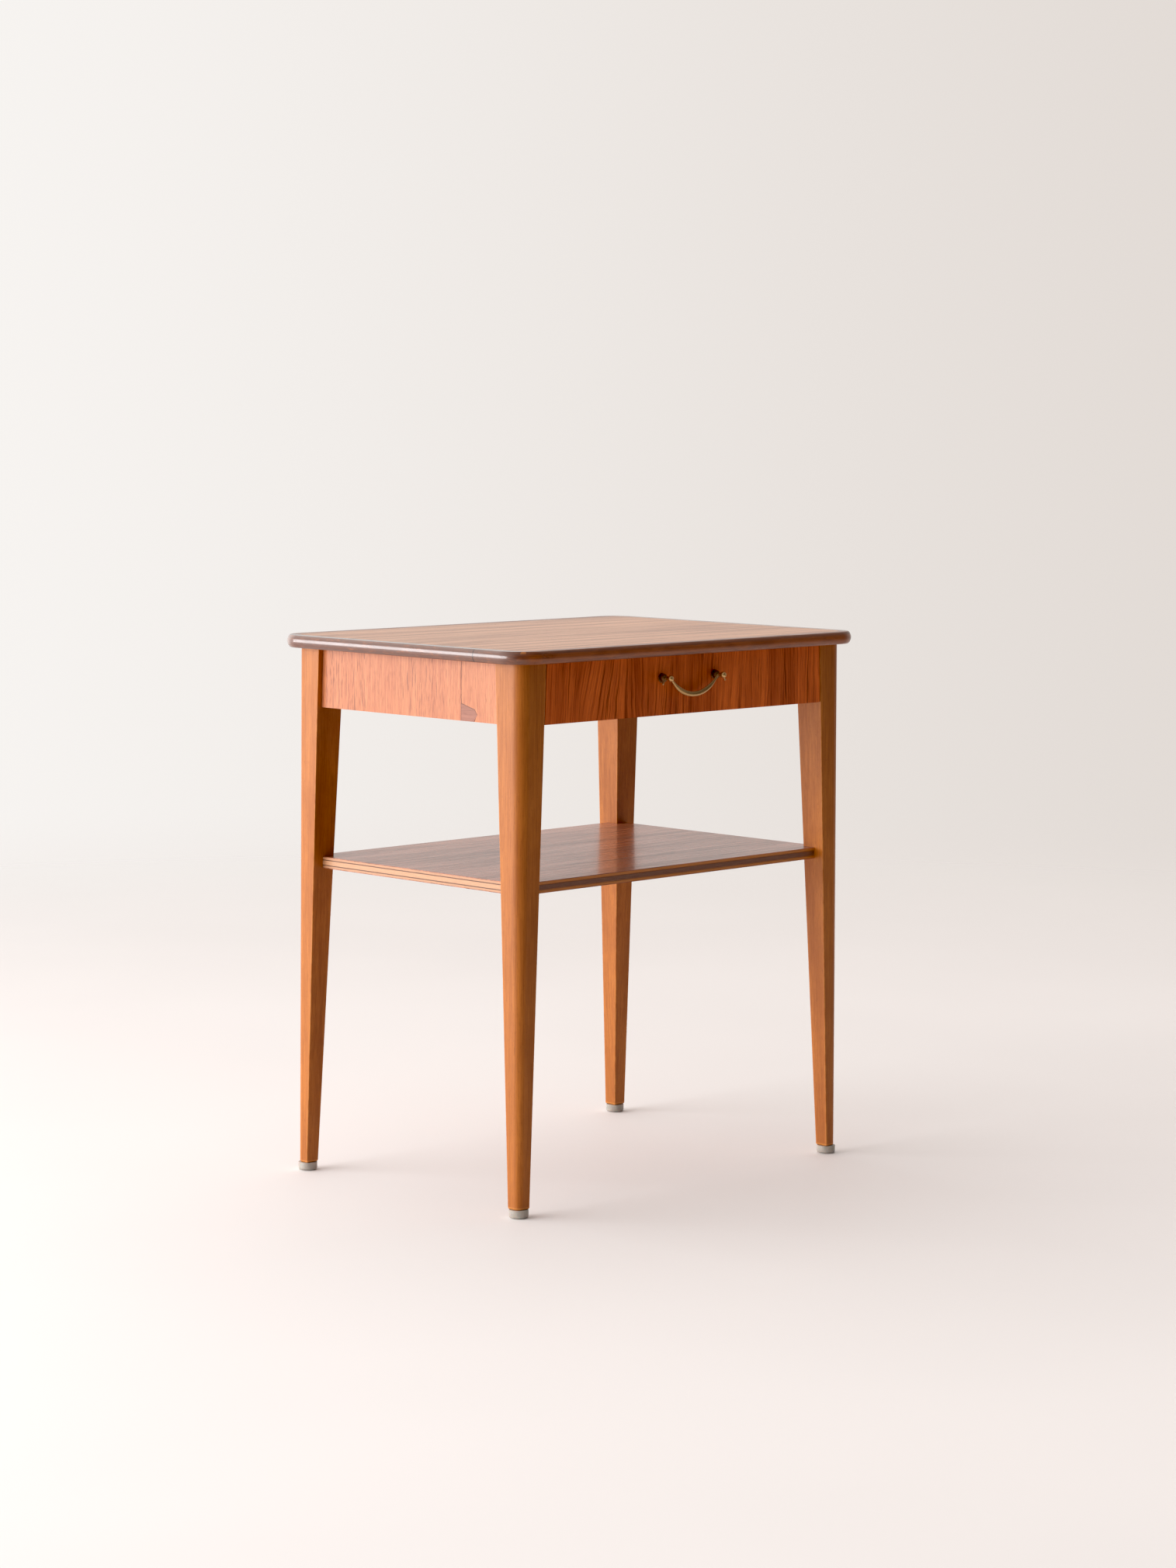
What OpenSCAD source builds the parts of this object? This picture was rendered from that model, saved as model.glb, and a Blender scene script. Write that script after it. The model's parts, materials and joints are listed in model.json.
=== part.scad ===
// Side table with one shallow drawer under a lipped top, four tapered legs and a low shelf.
// Millimetres. The origin is on the floor under the middle of the table:
// +X is to the right seen from the drawer side, -Y is the drawer side and +Z is up.

/* [Overall size] */
// Height of the top face above the floor
height = 570; // [470:5:690]
// Width of the top board, side to side
top_w = 514; // [425:1:620]
// Depth of the top board, front to back
top_d = 370; // [305:1:445]

/* [Top board] */
// Thickness of the finished top board
top_t = 13; // [11:0.5:16]
// Overhang of the top beyond the outer faces of the legs
overhang = 16; // [8:1:20]
// Radius of the top's corners in plan
corner_r = 32; // [27:1:39]
// Width of the solid lipping round the veneered field
lip_w = 14; // [12:0.5:17]
// Swell of the lipping's outer edge at half its height
lip_swell = 3; // [2:0.25:4]
// Distance of each lipping joint behind the front edge
lip_joint = 68; // [57:1:82]
// Gap left at a lipping joint
lip_kerf = 0.2; // [0.1:0.05:0.4]
// Thickness of every sheet of veneer
veneer = 0.6; // [0.5:0.1:0.8]

/* [Legs and glides] */
// Side of a leg's square section at the top
leg_top = 36; // [30:0.5:43.5]
// Side of a leg's square section at the foot
leg_foot = 15.5; // [13:0.5:19]
// Radius of the leg's outer corner at the top
leg_round_top = 14; // [10:0.5:16]
// Radius of the leg's outer corner at the foot
leg_round_foot = 7; // [4:0.5:8]
// Diameter of a glide
glide_d = 20; // [16:0.5:24]
// Height of a glide below the leg
glide_h = 8.5; // [7:0.25:11]
// Rounding of a glide's lower rim
glide_round = 2.6; // [1.5:0.1:3.2]
// Depth of a glide's nail in the leg
nail_depth = 16; // [13:0.5:20]

/* [Aprons and rails] */
// Height of the aprons and of the drawer front
apron_h = 62; // [51:1:75]
// Thickness of an apron with its veneer
apron_t = 15; // [12:0.5:18]
// Set-back of the aprons behind the legs' outer faces
apron_inset = 6; // [3:0.5:8]
// Thickness of the front rail, of the kickers and of the rear cleat
rail_t = 12; // [10:0.5:14.5]
// Width of the front rail, front to back
rail_w = 40; // [33:1:48]
// Width of a kicker and of the rear cleat
kicker_w = 24; // [20:0.5:29]
// Diameter of a dowel
dowel_d = 8; // [6.5:0.5:9.5]
// Length of a dowel, half of it in each piece
dowel_l = 28; // [23:1:33]
// Distance of the dowels from the apron's lower and upper edges
dowel_edge = 14; // [11:0.5:17]

/* [Shelf] */
// Height of the shelf's underside above the floor
shelf_z = 324.5; // [270:0.5:390]
// Thickness of the shelf with its veneers
shelf_t = 12; // [10:0.5:14.5]
// Set-back of the shelf behind the legs' outer faces
shelf_setback = 12.5; // [10:0.5:15]

/* [Drawer] */
// Thickness of the drawer front with its veneer
front_t = 16; // [13:0.5:19]
// Set-back of the drawer front behind the legs' front faces
front_inset = 0.5; // [0:0.1:2]
// Gap between the drawer front and the legs
front_gap = 1; // [0.6:0.1:1.6]
// Gap between the drawer front and the top
top_gap = 1.5; // [1:0.1:2]
// Gap between the drawer box and the front legs
box_gap = 1.2; // [0.8:0.1:1.6]
// Clearance below the drawer box
box_lift = 2.5; // [2:0.5:3]
// Thickness of the drawer's sides and back
side_t = 10; // [8.5:0.5:12]
// Thickness of the drawer bottom
bottom_t = 4; // [3:0.5:5]
// Height of the bottom panel above the sides' lower edges
bottom_rise = 5; // [4:0.5:6]
// Depth of the grooves that hold the bottom panel
bottom_groove = 4.5; // [3.5:0.5:5]
// Height of a runner
runner_h = 10; // [8:0.5:12]
// Depth of the runner grooves in the drawer's sides
runner_groove = 5; // [4:0.5:6]
// Play between a runner and its groove, on each side
runner_play = 0.4; // [0.3:0.05:0.6]
// Length of the sliding dovetails in the drawer front
tail_l = 8; // [6.5:0.5:9.5]
// Thickness of the drawer stops
stop_t = 5; // [4:0.5:6]

/* [Handle] */
// Distance between the two posts
post_pitch = 79; // [66:0.5:95]
// Height of the posts above the drawer front's lower edge
handle_rise = 38.5; // [32:0.5:42]
// Radius of a post's boss
boss_r = 5; // [4.2:0.1:6]
// Radius of a post's neck
neck_r = 2; // [1.8:0.1:2.2]
// Radius of the ball on a post
ball_r = 3.3; // [2.8:0.1:3.6]
// Distance of the ball's centre from the drawer front
ball_out = 13; // [12.6:0.1:13.2]
// Distance of the bail's axis from the drawer front
bail_out = 9; // [8.7:0.05:9.1]
// Radius of the bail's ends in the posts
bail_rod_r = 0.8; // [0.7:0.05:0.85]
// Running clearance round the bail's ends
bail_play = 0.06; // [0.03:0.01:0.09]
// Drop of the bail's centre line
bail_drop = 18; // [15:0.5:20]
// Height of the bail's oval section
bail_h = 5.2; // [4.4:0.1:6]
// Thickness of the bail's oval section
bail_t = 3.4; // [2.8:0.1:3.6]
// Radius of a post's threaded shank
shank_r = 1.9; // [1.6:0.1:2.2]

/* [Veneer patch] */
// Distance of the patch behind the left legs' front face
patch_y = 92; // [78:1:110]
// Width of the patch
patch_w = 24; // [20:1:28]
// Height of the patch
patch_h = 18; // [15:1:21]

/* [Hidden] */

teak = [0.72, 0.43, 0.27];
teak_red = [0.50, 0.22, 0.09];
beech = [0.76, 0.52, 0.29];
lipping = [0.42, 0.22, 0.13];
core = [0.80, 0.64, 0.44];
pale = [0.84, 0.72, 0.52];
steel = [0.66, 0.66, 0.67];
brass = [0.55, 0.43, 0.22];
plastic = [0.62, 0.60, 0.56];

fit = 0.05;                          // glue line between wooden pieces
frame_w = top_w - 2 * overhang;      // over the outer faces of the legs
frame_d = top_d - 2 * overhang;
leg_z0 = glide_h;
leg_z1 = height - top_t;
apron_z0 = leg_z1 - apron_h;
dowel_x = apron_inset + veneer + (apron_t - veneer) / 2;
dowel_z = [apron_z0 + dowel_edge, leg_z1 - dowel_edge];
apron_in = apron_inset + apron_t;    // inner face of an apron, from the legs' outer face

front_back = front_inset + front_t;  // back face of the drawer front
rail_y = front_back + 1.5;
rail_z = leg_z1 - rail_t;
tenon = [10, 10, rail_t / 2];        // length, width and thickness of a rail tenon

box_x = leg_top + box_gap;           // outer face of the drawer box
box_z = apron_z0 + box_lift;
box_h = rail_z - 1.5 - box_z;
box_end = frame_d - apron_in - stop_t - 0.5;
back_y = box_end - side_t - 6;
bottom_z = box_z + bottom_rise;
runner_z = bottom_z + bottom_t + (box_h - bottom_rise - bottom_t - runner_h) / 2 - 2;
runner_x = box_x + runner_groove - 0.5;
runner_y = leg_s(runner_z + runner_h) + 0.5;

face_y = -frame_d / 2 + front_inset; // front face of the drawer front
// The posts' nuts stay clear of the front rail when the front is low.
handle_z = apron_z0 + min(handle_rise, apron_h - rail_t - 7.5);
bail_y = face_y - bail_out;
bail_half = post_pitch / 2 - neck_r - 2.5;
bail_R = (bail_half * bail_half + bail_drop * bail_drop) / (2 * bail_drop);
bail_angle = asin(bail_half / bail_R);
swell_R = (top_t * top_t / 4 + lip_swell * lip_swell) / (2 * lip_swell);

// Side of the leg's square section at height z: both inner faces taper, the outer ones don't.
function leg_s(z) = leg_foot + (leg_top - leg_foot) * (z - leg_z0) / (leg_z1 - leg_z0);

// Places something drawn inwards from the outer corner of the leg at side sx, sy.
module corner(sx, sy)
    translate([sx * frame_w / 2, sy * frame_d / 2, 0])
        mirror([sx > 0 ? 1 : 0, 0, 0]) mirror([0, sy > 0 ? 1 : 0, 0]) children();

module swap_xy() mirror([1, -1, 0]) children();

// A plate that stands between two legs along Y, with its ends cut to their taper.
module plate(span, x, t, z0, z1, gap)
    translate([x, 0, 0]) rotate([90, 0, 90]) linear_extrude(t) polygon([
        [leg_s(z0) + gap, z0], [span - leg_s(z0) - gap, z0],
        [span - leg_s(z1) - gap, z1], [leg_s(z1) + gap, z1]]);

// The dowels of one apron end, in a leg's corner frame; more than 0 for their holes.
module dowels(more = 0)
    for (z = dowel_z) translate([dowel_x, leg_s(z) - dowel_l / 2 - 6 * more, z])
        rotate([-90, 0, 0]) cylinder(d = dowel_d + 2 * more, h = dowel_l + 12 * more, $fn = 40);

// A countersunk screw with its head at the origin, pointing along +Z.
module screw(l, more = 0, slot = true) difference() {
    union() {
        translate([0, 0, -more]) cylinder(r1 = 3.5 + more, r2 = 1.6 + more, h = 2.2, $fn = 36);
        cylinder(r = 1.6 + more, h = l - 3, $fn = 36);
        translate([0, 0, l - 3]) cylinder(r1 = 1.6 + more, r2 = 0.3 + more, h = 3, $fn = 36);
    }
    if (slot) translate([-4, -0.45, -0.1]) cube([8, 0.9, 1]);
}

module spots(list, l, more = 0, slot = true)
    for (p = list) translate(p) screw(l, more, slot);

// Where the top is screwed on: two spots in each kicker, in the front rail and in the cleat.
kicker_x = frame_w / 2 - apron_in - kicker_w / 2;
top_spots = [for (x = [-kicker_x, kicker_x], y = [-frame_d / 5, frame_d / 4]) [x, y, rail_z],
    for (x = [-frame_w / 4, frame_w / 4], y = [-frame_d / 2 + rail_y + rail_w / 2,
        frame_d / 2 - apron_in - kicker_w / 2]) [x, y, rail_z]];
top_screw_l = rail_t + 8;

module rounded(w, d, r) {
    square([w - 2 * r, d], center = true);
    square([w, d - 2 * r], center = true);
    for (x = [-1, 1], y = [-1, 1]) translate([x * (w / 2 - r), y * (d / 2 - r)]) circle(r, $fn = 96);
}

module top_sheet(z, t)
    translate([0, 0, leg_z1 + z]) linear_extrude(t)
        rounded(top_w - 2 * lip_w - 2 * fit, top_d - 2 * lip_w - 2 * fit, corner_r - lip_w - fit);

// Section of the lipping with its outer edge at x = 0.
module lip_profile() intersection() {
    square([lip_w, top_t]);
    union() {
        translate([swell_R, top_t / 2]) circle(swell_R, $fn = 128);
        translate([swell_R, 0]) square([lip_w, top_t]);
    }
}

// A straight run of lipping on the line y = 0, from x = 0 to l, with its outer edge at y = 0.
module lip_run(l) rotate([90, 0, 90]) linear_extrude(l) lip_profile();

// One end's strip: across that end, round both corners and back along the sides to y = cut.
module lip_strip(end, cut) translate([0, 0, leg_z1]) mirror([0, end > 0 ? 1 : 0, 0]) {
    translate([-(top_w / 2 - corner_r), -top_d / 2, 0]) lip_run(top_w - 2 * corner_r);
    for (m = [0, 1]) mirror([m, 0, 0]) {
        translate([-top_w / 2, -top_d / 2, 0]) translate([corner_r, corner_r, 0])
            rotate([0, 0, 180]) rotate_extrude(angle = 90, $fn = 96)
                translate([corner_r, 0]) mirror([1, 0]) lip_profile();
        translate([-top_w / 2, cut, 0]) rotate([0, 0, -90]) lip_run(cut + top_d / 2 - corner_r);
    }
}

module leg_section(s, r) {
    translate([r, r]) circle(r, $fn = 48);
    translate([r, 0]) square([s - r, s]);
    translate([0, r]) square([r, s - r]);
}

module leg(sx, sy) color(beech) corner(sx, sy) difference() {
    hull() {
        translate([0, 0, leg_z0]) linear_extrude(0.01) leg_section(leg_foot, leg_round_foot);
        translate([0, 0, leg_z1 - 0.01]) linear_extrude(0.01) leg_section(leg_top, leg_round_top);
    }
    translate([shelf_setback - fit, shelf_setback - fit, shelf_z - fit])
        cube([leg_top, leg_top, shelf_t + 2 * fit]);
    dowels(fit);
    if (sy > 0) swap_xy() dowels(fit);
    if (sy < 0) rail_tenon(fit);
    translate([leg_foot / 2, leg_foot / 2, leg_z0 - 1]) cylinder(r = 1.1 + fit, h = nail_depth + 2, $fn = 32);
}

module glides() color(plastic) for (sx = [-1, 1], sy = [-1, 1])
    corner(sx, sy) translate([leg_foot / 2, leg_foot / 2, 0]) difference() {
        rotate_extrude($fn = 64) {
            translate([0, glide_round]) square([glide_d / 2, glide_h - glide_round]);
            square([glide_d / 2 - glide_round, glide_h]);
            translate([glide_d / 2 - glide_round, glide_round]) circle(glide_round, $fn = 48);
        }
        translate([0, 0, -1]) cylinder(r = 3, h = 3.6, $fn = 48);
        cylinder(r = 1.1 + fit, h = 2 * glide_h, $fn = 32);
    }

module glide_nails() color(steel) for (sx = [-1, 1], sy = [-1, 1])
    corner(sx, sy) translate([leg_foot / 2, leg_foot / 2, 1.5]) {
        cylinder(r = 2.8, h = 1.1, $fn = 40);
        cylinder(r = 1.1, h = glide_h + nail_depth - 4, $fn = 32);
        translate([0, 0, glide_h + nail_depth - 4]) cylinder(r1 = 1.1, r2 = 0.2, h = 2.5, $fn = 32);
    }

// Side aprons: sx is the side. The left one's veneer carries a small patch at its lower edge.
module apron_board(sx) color(core) difference() {
    corner(sx, -1) plate(frame_d, apron_inset + veneer, apron_t - veneer, apron_z0, leg_z1, fit);
    for (sy = [-1, 1]) corner(sx, sy) dowels(fit);
    runner_spots(sx, fit, false);
}

module apron_face(sx) color(teak) corner(sx, -1)
    plate(frame_d, apron_inset, veneer, apron_z0, leg_z1, fit);

module patch(more = 0, deep = 0) corner(-1, -1)
    translate([apron_inset - deep, patch_y, apron_z0]) rotate([90, 0, 90])
        linear_extrude(veneer + 2 * deep) polygon([[more, -deep], [more, patch_h + more],
            [-0.85 * patch_w, 0.7 * patch_h + more], [-patch_w - more, 0.42 * patch_h],
            [-0.8 * patch_w - more, -deep]]);

module apron_rear() color(core) difference() {
    corner(-1, 1) swap_xy() plate(frame_w, apron_inset + veneer, apron_t - veneer, apron_z0, leg_z1, fit);
    for (sx = [-1, 1]) corner(sx, 1) swap_xy() dowels(fit);
}

module apron_dowels() color(pale) {
    for (sx = [-1, 1], sy = [-1, 1]) corner(sx, sy) dowels();
    for (sx = [-1, 1]) corner(sx, 1) swap_xy() dowels();
}

// Stub tenon of the front rail, in a front leg's corner frame.
module rail_tenon(more = 0)
    translate([leg_top - tenon[0] - more, rail_y + 3 - more, rail_z + (rail_t - tenon[2]) / 2 - more])
        cube([tenon[0] + 3, tenon[1] + 2 * more, tenon[2] + 2 * more]);

module front_rail() color(pale) difference() {
    union() {
        corner(-1, -1) swap_xy() plate(frame_w, rail_y, rail_w, rail_z, leg_z1, fit);
        for (sx = [-1, 1]) corner(sx, -1) rail_tenon();
    }
    spots(top_spots, top_screw_l, fit, false);
}

module kicker(sx) color(pale) difference() {
    corner(sx, -1) translate([apron_in + fit, rail_y + rail_w + fit, rail_z])
        cube([kicker_w, frame_d - rail_y - rail_w - leg_top - 3 * fit, rail_t]);
    spots(top_spots, top_screw_l, fit, false);
}

module rear_cleat() color(pale) difference() {
    corner(-1, 1) translate([box_x + kicker_w, apron_in + fit, rail_z])
        cube([frame_w - 2 * (box_x + kicker_w), kicker_w, rail_t]);
    spots(top_spots, top_screw_l, fit, false);
}

// Two screws that hold a runner to its apron.
module runner_spots(sx, more = 0, slot = true) for (y = [0.2, 0.8])
    corner(sx, -1) translate([runner_x, runner_y + y * (frame_d - 2 * runner_y), runner_z + runner_h / 2])
        rotate([0, -90, 0]) screw(runner_x - apron_in + apron_t * 0.6, more, slot);

module runner(sx) color(pale) difference() {
    corner(sx, -1) translate([apron_in + fit, runner_y, runner_z])
        cube([runner_x - apron_in - fit, frame_d - 2 * runner_y, runner_h]);
    runner_spots(sx, fit, false);
}

module drawer_stops() color(pale) for (sx = [-1, 1]) corner(sx, 1)
    translate([box_x, apron_in + fit, box_z + 2]) cube([side_t + 6, stop_t - fit, box_h - 6]);

module shelf_sheet(z, t)
    translate([0, 0, shelf_z + z + t / 2])
        cube([frame_w - 2 * shelf_setback, frame_d - 2 * shelf_setback, t], center = true);

// Holes for the two handle posts, from the drawer front's face inwards.
module post_holes(more) for (x = [-1, 1])
    translate([x * post_pitch / 2, face_y - 1, handle_z]) rotate([-90, 0, 0])
        cylinder(r = shank_r + more, h = front_t + 2, $fn = 40);

// Plan of a sliding dovetail, in a front leg's corner frame.
module tail(more, z, h) translate([box_x + side_t / 2, front_back, z]) linear_extrude(h)
    polygon([[-3 - more, 0.2], [-4 - more, -tail_l - more], [4 + more, -tail_l - more], [3 + more, 0.2]]);

module bottom_sheet(more) translate([-frame_w / 2 + box_x + side_t - bottom_groove - more,
    -frame_d / 2 + front_back - bottom_groove - more, bottom_z - more])
    cube([frame_w - 2 * (box_x + side_t - bottom_groove - more),
        back_y + side_t - front_back + bottom_groove + more, bottom_t + 2 * more]);

module drawer_front() color(core) difference() {
    corner(-1, -1) swap_xy() plate(frame_w, front_inset + veneer, front_t - veneer, apron_z0,
        leg_z1 - top_gap, front_gap);
    for (sx = [-1, 1]) corner(sx, -1) tail(fit, apron_z0 - 1, box_z + box_h + fit - apron_z0 + 1);
    bottom_sheet(0.1);
    post_holes(0.1);
}

module drawer_front_veneer() color(teak_red) difference() {
    corner(-1, -1) swap_xy() plate(frame_w, front_inset, veneer, apron_z0, leg_z1 - top_gap, front_gap);
    post_holes(0.1);
}

module drawer_side(sx) color(pale) difference() {
    corner(sx, -1) difference() {
        union() {
            translate([box_x, front_back + fit, box_z]) cube([side_t, box_end - front_back - fit, box_h]);
            tail(0, box_z, box_h);
        }
        translate([box_x - 1, front_back + 6, runner_z - runner_play])
            cube([runner_groove + 1, box_end, runner_h + 2 * runner_play]);
        translate([box_x + side_t - 4, back_y - fit, box_z - 1]) cube([side_t, side_t + 2 * fit, box_h + 2]);
    }
    bottom_sheet(0.1);
}

module drawer_back() color(pale) difference() {
    translate([-frame_w / 2 + box_x + side_t - 4 + fit, -frame_d / 2 + back_y, bottom_z + bottom_t + fit])
        cube([frame_w - 2 * (box_x + side_t - 4 + fit), side_t, box_h - bottom_rise - bottom_t - 4]);
    spots(bottom_spots, bottom_t + 12, fit, false);
}

bottom_spots = [for (x = [-frame_w / 4, 0, frame_w / 4]) [x, -frame_d / 2 + back_y + side_t / 2, bottom_z]];

module drawer_bottom() color(core) difference() {
    bottom_sheet(0);
    spots(bottom_spots, bottom_t + 12, fit, false);
}

// A turned post: flanged boss, neck bored for the bail, ball with a dimple, and a shank.
module handle_post(sx) color(brass)
    translate([sx * post_pitch / 2, face_y, handle_z]) rotate([90, 0, 0]) difference() {
        union() {
            cylinder(r = boss_r, h = 1.3, $fn = 64);
            translate([0, 0, 3]) intersection() {
                sphere(r = boss_r - 0.7, $fn = 64);
                translate([0, 0, -2.5]) cylinder(r = boss_r, h = 6.4, $fn = 64);
            }
            cylinder(r = neck_r, h = ball_out, $fn = 48);
            translate([0, 0, ball_out]) sphere(r = ball_r, $fn = 64);
            translate([0, 0, -front_t - 4.6]) cylinder(r = shank_r, h = front_t + 5, $fn = 40);
        }
        translate([0, 0, bail_out]) rotate([0, 90, 0])
            cylinder(r = bail_rod_r + bail_play, h = 3 * neck_r, center = true, $fn = 48);
        translate([0, 0, ball_out + ball_r + 0.7]) sphere(r = 1.3, $fn = 32);
    }

module handle_washers() color(steel) for (sx = [-1, 1])
    translate([sx * post_pitch / 2, face_y + front_t + fit, handle_z]) rotate([-90, 0, 0]) difference() {
        cylinder(r = 4.5, h = 0.8, $fn = 48);
        translate([0, 0, -1]) cylinder(r = shank_r + 0.15, h = 4, $fn = 40);
    }

module handle_nuts() color(steel) for (sx = [-1, 1])
    translate([sx * post_pitch / 2, face_y + front_t + 0.8 + 2 * fit, handle_z]) rotate([-90, 0, 0]) difference() {
        cylinder(r = 4.04, h = 3.2, $fn = 6);
        translate([0, 0, -1]) cylinder(r = shank_r + 0.03, h = 6, $fn = 40);
    }

// An arc of the bail's centre line from angle a0 to a1, measured from its lowest point.
module bail_arc(a0, a1) translate([0, bail_y, handle_z - bail_drop + bail_R])
    rotate([90, 0, 0]) rotate([0, 0, -90 + a0]) rotate_extrude(angle = a1 - a0, $fn = 180)
        translate([bail_R, 0]) children();

module handle_bail() color(brass) {
    thick = 0.72 * bail_angle;
    bail_arc(-thick, thick) {
        square([bail_h - bail_t, bail_t], center = true);
        for (u = [-1, 1]) translate([u * (bail_h - bail_t) / 2, 0]) circle(bail_t / 2, $fn = 48);
    }
    for (a = [-1, 1]) bail_arc(a > 0 ? thick - 1 : -bail_angle, a > 0 ? bail_angle : 1 - thick)
        circle(1.3, $fn = 40);
    out = post_pitch / 2 + neck_r + 1.7;
    for (sx = [-1, 1]) translate([0, bail_y, handle_z]) mirror([sx > 0 ? 0 : 1, 0, 0]) {
        translate([bail_half, 0, 0]) sphere(r = 1.45, $fn = 32);
        translate([bail_half, 0, 0]) rotate([0, 90, 0]) cylinder(r = bail_rod_r, h = out - bail_half, $fn = 48);
        translate([out, 0, 0]) sphere(r = bail_rod_r + 0.15, $fn = 32);
        translate([out, 0, 0]) rotate([0, 150, 0]) cylinder(r = bail_rod_r, h = 6.4, $fn = 32);
        translate([out, 0, 0]) rotate([0, 150, 0]) translate([0, 0, 6.4]) sphere(r = 1.15, $fn = 32);
    }
}

color(core) difference() {  // top_core
    top_sheet(veneer, top_t - 2 * veneer);
    spots(top_spots, top_screw_l, fit, false);
}
color(teak) top_sheet(top_t - veneer, veneer);  // top_veneer
color(core) difference() {  // top_backing
    top_sheet(0, veneer);
    spots(top_spots, top_screw_l, fit, false);
}
color(lipping)  // lipping_front
    lip_strip(-1, -top_d / 2 + lip_joint);
color(lipping)  // lipping_rear
    lip_strip(1, top_d / 2 - lip_joint - lip_kerf);
leg(-1, -1);  // leg_front_left
leg(1, -1);  // leg_front_right
leg(-1, 1);  // leg_rear_left
leg(1, 1);  // leg_rear_right
glides();
glide_nails();
apron_board(-1);  // apron_left
difference() {  // apron_left_veneer
    apron_face(-1);
    patch(fit, 1);
}
color(lipping) patch();  // apron_left_patch
apron_board(1);  // apron_right
apron_face(1);  // apron_right_veneer
apron_rear();
color(teak)  // apron_rear_veneer
    corner(-1, 1) swap_xy() plate(frame_w, apron_inset, veneer, apron_z0, leg_z1, fit);
apron_dowels();
front_rail();
kicker(-1);  // kicker_left
kicker(1);  // kicker_right
rear_cleat();
color(steel) spots(top_spots, top_screw_l);  // top_screws
runner(-1);  // runner_left
runner(1);  // runner_right
color(steel) for (sx = [-1, 1]) runner_spots(sx);  // runner_screws
drawer_stops();
color(core) shelf_sheet(veneer, shelf_t - 2 * veneer);  // shelf_core
color(teak) shelf_sheet(shelf_t - veneer, veneer);  // shelf_veneer_top
color(teak) shelf_sheet(0, veneer);  // shelf_veneer_under
drawer_front();
drawer_front_veneer();
drawer_side(-1);  // drawer_side_left
drawer_side(1);  // drawer_side_right
drawer_back();
drawer_bottom();
color(steel) spots(bottom_spots, bottom_t + 12);  // bottom_screws
handle_post(-1);  // handle_post_left
handle_post(1);  // handle_post_right
handle_washers();
handle_nuts();
handle_bail();
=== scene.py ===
"""Side table with one drawer.

The finishes, the turned and swept pieces, the floor, the light and the camera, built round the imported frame.
"""

import json
import math

import bmesh
import bpy
import numpy as np
from bpy.props import FloatProperty, FloatVectorProperty, PointerProperty
from mathutils import Matrix, Vector


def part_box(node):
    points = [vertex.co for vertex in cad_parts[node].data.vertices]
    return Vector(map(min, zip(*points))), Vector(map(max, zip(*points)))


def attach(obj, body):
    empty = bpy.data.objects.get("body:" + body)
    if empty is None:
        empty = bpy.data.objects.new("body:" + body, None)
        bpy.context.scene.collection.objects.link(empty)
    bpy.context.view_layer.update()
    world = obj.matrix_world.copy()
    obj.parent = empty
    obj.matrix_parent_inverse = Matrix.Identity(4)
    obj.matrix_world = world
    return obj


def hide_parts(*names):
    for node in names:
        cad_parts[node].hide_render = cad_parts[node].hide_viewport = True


bl_info = {
    "name": "Side Table with Drawer",
    "version": (1, 0, 0),
    "blender": (4, 5, 0),
    "location": "View3D > Sidebar > Side Table",
    "description": "Dresses a small side table: veneers, tapered legs, lipping, shelf, drawer and bail handle",
    "category": "Object",
}

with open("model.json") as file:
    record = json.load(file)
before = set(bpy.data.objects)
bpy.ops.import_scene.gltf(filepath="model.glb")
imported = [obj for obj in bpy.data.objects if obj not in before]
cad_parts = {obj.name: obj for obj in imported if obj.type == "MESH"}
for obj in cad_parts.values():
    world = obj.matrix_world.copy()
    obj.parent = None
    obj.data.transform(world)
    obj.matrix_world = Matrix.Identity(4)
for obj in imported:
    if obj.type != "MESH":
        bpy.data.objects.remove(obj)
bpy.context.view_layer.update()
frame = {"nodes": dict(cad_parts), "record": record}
FIT = 0.00005  # glue line round tenons and dowels
DOWEL_R = 0.004  # radius of the aprons' dowels
NAIL_R = 0.0011  # radius of the glides' nails
SHANK_R = 0.0019  # radius of the handle posts' shanks
BORE_R = 0.00086  # radius of the cross bores that the bail turns in
FULL_SPIN, HALF_SPIN = 6.28, 3.1  # how far copies are spun at random, in radians
SIDES = [(-1, -1, "front_left"), (1, -1, "front_right"), (-1, 1, "rear_left"), (1, 1, "rear_right")]


# ---------------------------------------------------------------- sizes and colours

def size(name, text, default):
    return FloatProperty(name=name, description=text, default=default, min=0.0, subtype="DISTANCE",
        unit="LENGTH", precision=5)


def colour(name, text, default):
    return FloatVectorProperty(name=name, description=text, default=default, size=3, min=0.0, max=1.0,
        subtype="COLOR")


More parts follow.
